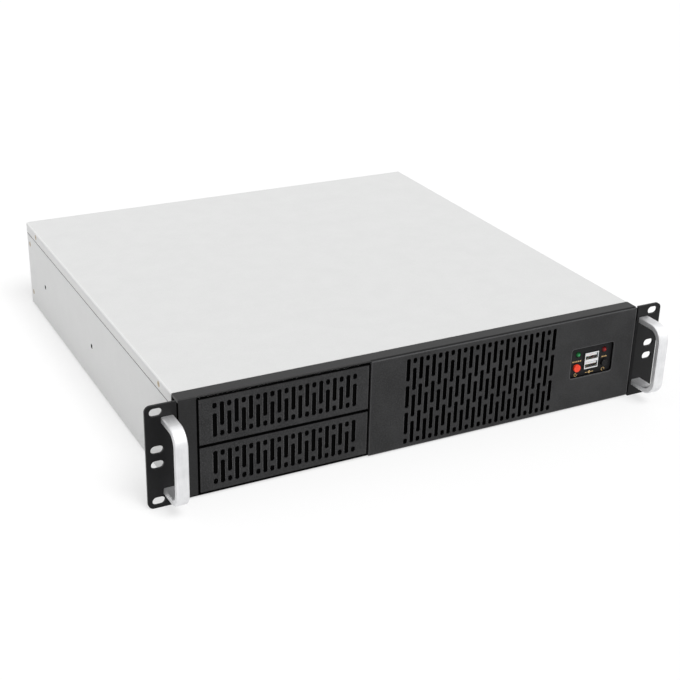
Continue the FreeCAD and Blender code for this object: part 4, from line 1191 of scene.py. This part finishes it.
@dataclass
class ControlPanel:
    """Dark panel behind the window, with lamps, buttons, the double socket and the small board."""

    print_depth: float = 0.06 * MM
    print_width: float = 0.45 * MM
    ring_radius: float = 1.8 * MM
    ring_gap: float = 1.2
    mark_drop: float = 2.4 * MM
    bar_length: float = 9.0 * MM
    disc_radius: float = 1.26 * MM
    disc_hole: float = 0.4 * MM
    dash_counts: tuple[int, int] = (5, 3)
    dash_pitch: float = 2.0 * MM
    dash_width: float = 1.0 * MM
    dash_height: float = 1.3 * MM
    dash_rise: float = 1.2 * MM
    contact_count: int = 4
    contact_width: float = 1.1 * MM
    contact_pitch: float = 2.45 * MM
    contact_depth: float = 0.12 * MM
    joint_radius: float = 0.75 * MM
    joint_height: float = 0.6 * MM
    lamp_joint_share: float = 0.9
    switch_joint_inset: float = 1.125 * MM
    panel: Moulding = Moulding(
        "dark_panel", (0.0035, 0.0035, 0.004), (0.009, 0.009, 0.010), roughness=0.55, gloss=0.22)
    red: Moulding = Moulding(
        "red_button", (0.86, 0.040, 0.012), (0.95, 0.10, 0.04),
        relief=2 * MICRON, roughness=0.42, gloss=0.3, coat=0.1)
    black: Moulding = Moulding(
        "black_button", (0.003, 0.003, 0.0035), (0.012, 0.012, 0.013),
        relief=2 * MICRON, roughness=0.36, gloss=0.2, coat=0.02)
    white: Moulding = Moulding(
        "white_moulding", (0.82, 0.82, 0.80), (0.90, 0.90, 0.88), roughness=0.4, scatter=0.2)
    shell: PlatedMetal = PlatedMetal(
        "nickel_shell", (0.84, 0.84, 0.85), (0.66, 0.66, 0.68), (1.0, 0.05, 1.0), roughness=0.2)
    gold: PlatedMetal = PlatedMetal(
        "gold_contacts", (0.90, 0.66, 0.28), (0.70, 0.48, 0.18), (1.0, 0.05, 1.0), roughness=0.24)
    ink: Moulding = Moulding(
        "gold_print", (0.66, 0.42, 0.15), (0.85, 0.62, 0.32), roughness=0.5, relief=3 * MICRON)
    solder: PlatedMetal = PlatedMetal(
        "solder", (0.78, 0.79, 0.80), (0.60, 0.61, 0.63), (1.0, 1.0, 1.0), roughness=0.28)

    def build(self) -> None:
        """Dresses the CAD pieces and adds print, contacts and solder joints."""
        dress(("control_panel",), self.panel)
        dress(("button_switches",), BLACK_PLASTIC)
        dress(("control_board",), CircuitBoard("circuit_board"))
        dress(("control_screws",), ZINC)
        dress(("usb_socket",), self.shell)
        dress(("usb_tongues",), self.white)
        dress(("power_button",), self.red)
        dress(("reset_button",), self.black)
        self.lamp("power_led", (0.003, 0.07, 0.016), (0.05, 0.44, 0.15))
        self.lamp("disk_led", (0.09, 0.002, 0.003), (0.52, 0.02, 0.02))
        self.print_marks()
        self.contacts()
        self.solder_joints()

    def lamp(self, node: str, colour: Colour, core: Colour) -> None:
        """Dresses one lamp with a brighter core on its own middle line, partly a painted highlight.

        Args:
            node: Node of the lamp.
            colour: Tint of the moulding.
            core: Tint in front of the chip cup, lightened as a painted highlight.
        """
        low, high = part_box(node)
        reach = (high.x - low.x) / 3
        dress((node,), Lamp(f"{node}_tint", colour, core, tuple(middle_of(node)), reach))

    def face(self) -> float:
        """Depth of the panel's front face."""
        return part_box("control_panel")[0].y

    def print_marks(self) -> None:
        """Adds plain printed shapes: rows of dashes, two open rings and a bar with a disc."""
        shape = Shape()
        buttons = ("power_button", "reset_button")
        for button, count in zip(buttons, self.dash_counts):
            self.dashes(shape, button, count)
        front = self.face() - self.print_depth
        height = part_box(buttons[0])[0].z - self.mark_drop
        power, reset, socket = (
            Vector((middle_of(node).x, front, height)) for node in (*buttons, "usb_socket"))
        half_width = self.print_width / 2
        self.ring(shape, power, self.ring_gap / 2)
        shape.block(power - Vector((half_width, 0, 0)),
                    power + Vector((half_width, self.print_depth, self.ring_radius)))
        self.ring(shape, reset, self.ring_gap * 2)
        half_bar = Vector((self.bar_length / 2, 0, half_width))
        shape.block(socket - half_bar, socket + half_bar + Vector((0, self.print_depth, 0)))
        shape.band(socket, Axis.Y, self.disc_hole, self.disc_radius, self.print_depth)
        add_piece("panel_print", shape.mesh("panel_print"), self.ink, "case")

    def ring(self, shape: Shape, middle: Vector, start: float) -> None:
        """Adds an open ring.

        Args:
            shape: The shape that takes it.
            middle: Middle of the ring's front.
            start: Angle where the ring starts.
        """
        inner = self.ring_radius - self.print_width
        sweep = math.tau - self.ring_gap
        shape.band(middle, Axis.Y, inner, self.ring_radius, self.print_depth, start, sweep)

    def dashes(self, shape: Shape, button: str, count: int) -> None:
        """Adds a row of short dashes over one button.

        Args:
            shape: The shape that takes them.
            button: Node of the button.
            count: Number of dashes.
        """
        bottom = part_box(button)[1].z + self.dash_rise
        for x in row_places(middle_of(button).x, count, self.dash_pitch):
            shape.block(Vector((x - self.dash_width / 2, self.face() - self.print_depth, bottom)),
                        Vector((x + self.dash_width / 2, self.face(), bottom + self.dash_height)))

    def contacts(self) -> None:
        """Adds gold contact strips under each tongue."""
        shape = Shape()
        low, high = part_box("usb_tongues")
        front = low.y + self.contact_width
        half = Vector((self.contact_width / 2, 0.0, self.contact_depth))
        for bottom in (low.z, high.z - tongue_height()):
            for x in row_places((low.x + high.x) / 2, self.contact_count, self.contact_pitch):
                shape.block(Vector((x, front, bottom)) - half, Vector((x, high.y, bottom)) + half)
        add_piece("socket_contacts", shape.mesh("socket_contacts"), self.gold, "case")

    def solder_joints(self) -> None:
        """Adds solder joints behind the lamps, switches and sockets."""
        shape = Shape()
        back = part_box("control_board")[1].y
        small = self.joint_radius * self.lamp_joint_share
        for node in ("power_led", "disk_led"):
            middle = middle_of(node)
            for x in (middle.x - self.joint_radius, middle.x + self.joint_radius):
                shape.dome(Vector((x, back, middle.z)), Axis.Y, small, self.joint_height)
        low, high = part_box("button_switches")
        inset = self.switch_joint_inset
        seats = [(x, z) for x in (low.x + inset, high.x - inset)
                 for z in (low.z + inset, high.z - inset)]
        low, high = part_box("usb_socket")
        columns = row_places((low.x + high.x) / 2, self.contact_count, self.contact_pitch)
        levels = (low.z + (high.z - low.z) * share for share in (0.25, 0.75))
        seats += [(x, z) for z in levels for x in columns]
        for x, z in seats:
            shape.dome(Vector((x, back, z)), Axis.Y, self.joint_radius, self.joint_height)
        mesh = shape.mesh("solder_joints", smooth=True)
        add_piece("solder_joints", mesh, self.solder, "case")


@dataclass
class Interior:
    """Drive cage, hard drive bracket, board supports and their screws."""

    bare: Sequence[str] = ("drive_cage", "hard_drive_bracket", "fan_bracket")
    plated: Sequence[str] = ("drive_cage_screws", "hard_drive_bracket_screws", "fan_bracket_screws")
    brass: PlatedMetal = PlatedMetal(
        "turned_brass", (0.80, 0.62, 0.28), (0.62, 0.46, 0.18), (0.05, 0.05, 1.0), roughness=0.26)

    def build(self) -> None:
        """Dresses the inner sheets, screws and standoffs."""
        dress(self.bare, STEEL)
        dress(self.plated, ZINC)
        dress(("board_standoffs",), self.brass)


@dataclass
class Fans:
    """Two moulded fans with their screws."""

    frames: Sequence[str] = ("left_fan_frame", "right_fan_frame")
    rotors: Sequence[str] = ("left_fan_rotor", "right_fan_rotor")
    blades: Moulding = Moulding(
        "fan_blade_moulding", (0.016, 0.016, 0.018), (0.04, 0.04, 0.043),
        relief=2 * MICRON, roughness=0.28)

    def build(self) -> None:
        """Dresses housings, rotors and screws."""
        dress(self.frames, BLACK_PLASTIC)
        dress(self.rotors, self.blades)
        dress(("fan_screws",), ZINC)


@dataclass
class Studio:
    """Pale floor, white surroundings, soft lamps and the camera of the reference picture."""

    floor_reach: float = 6.0
    camera_place: Point = (-0.5110, -0.8203, 0.4971)
    azimuth: float = -27.71
    elevation: float = 24.84
    roll: float = 1.45
    lens: float = 69.47
    sensor: float = 36.0
    ambient_low: float = 0.52
    ambient_high: float = 0.68
    ambient_rise: Limits = (0.0, 0.8)
    sun_from: Point = (0.12, -0.55, 0.83)
    sun_strength: float = 1.5
    sun_angle: float = 28.0

    def build(self) -> None:
        """Builds floor, world, lamps and camera."""
        self.floor()
        self.world()
        self.sun()
        self.camera()
        bpy.context.scene.view_settings.view_transform = "Standard"

    def floor(self) -> None:
        """Adds a wide floor just where the case stands."""
        low, _ = CAD_BOX
        reach = self.floor_reach
        mesh = bpy.data.meshes.new("floor")
        corners = [(-reach, -reach), (reach, -reach), (reach, reach), (-reach, reach)]
        mesh.from_pydata([(x, y, low.z) for x, y in corners], [], [(0, 1, 2, 3)])
        mesh.materials.append(Floor("studio_floor").material())
        made = bpy.data.objects.new("floor", mesh)
        bpy.context.scene.collection.objects.link(made)

    def world(self) -> None:
        """Builds white surroundings to be seen and a soft gradient that lights the case."""
        world = bpy.data.worlds.new("studio")
        bpy.context.scene.world = world
        graph = Graph(world)
        height = graph.node("ShaderNodeTexCoord", output="Generated").part(Axis.Z)
        low = (self.ambient_low,) * 3
        high = (self.ambient_high,) * 3
        sky = graph.mix(height.fade(*self.ambient_rise), low, high)
        light = graph.node("ShaderNodeBackground", None, {"Color": sky, "Strength": 1.0})
        white = graph.node("ShaderNodeBackground", None, {"Color": WHITE, "Strength": 1.0})
        both = graph.mix_shader(graph.backdrop_rays(), light, white)
        graph.node_end("ShaderNodeOutputWorld", both)

    def sun(self) -> None:
        """Adds one wide soft lamp that lights case and floor evenly."""
        data = bpy.data.lights.new("soft_key", "SUN")
        data.energy = self.sun_strength
        data.angle = math.radians(self.sun_angle)
        made = bpy.data.objects.new("soft_key", data)
        bpy.context.scene.collection.objects.link(made)
        made.rotation_mode = "QUATERNION"
        made.rotation_quaternion = Vector(self.sun_from).to_track_quat("Z", "Y")

    def camera(self) -> None:
        """Adds the camera of the reference picture."""
        turn = math.radians(self.azimuth)
        tilt = math.radians(self.elevation)
        back = Vector((
            math.sin(turn) * math.cos(tilt), -math.cos(turn) * math.cos(tilt), math.sin(tilt)))
        level = Axis.Z.vector.cross(back).normalized()
        upright = back.cross(level)
        roll = math.radians(self.roll)
        right = level * math.cos(roll) + upright * math.sin(roll)
        up = back.cross(right)
        data = bpy.data.cameras.new("camera")
        data.lens = self.lens
        data.sensor_width = self.sensor
        made = bpy.data.objects.new("camera", data)
        bpy.context.scene.collection.objects.link(made)
        turned = Matrix((right, up, back)).transposed().to_4x4()
        made.matrix_world = Matrix.Translation(Vector(self.camera_place)) @ turned
        bpy.context.scene.camera = made


def main() -> None:
    """Builds every sub-assembly in order, then the studio."""
    logging.basicConfig(level=logging.INFO, format="%(name)s: %(message)s")
    for assembly in (Body(), Fascia(), RackEars(), ControlPanel(), Interior(), Fans(), Studio()):
        assembly.build()


if __name__ == "__main__":
    main()
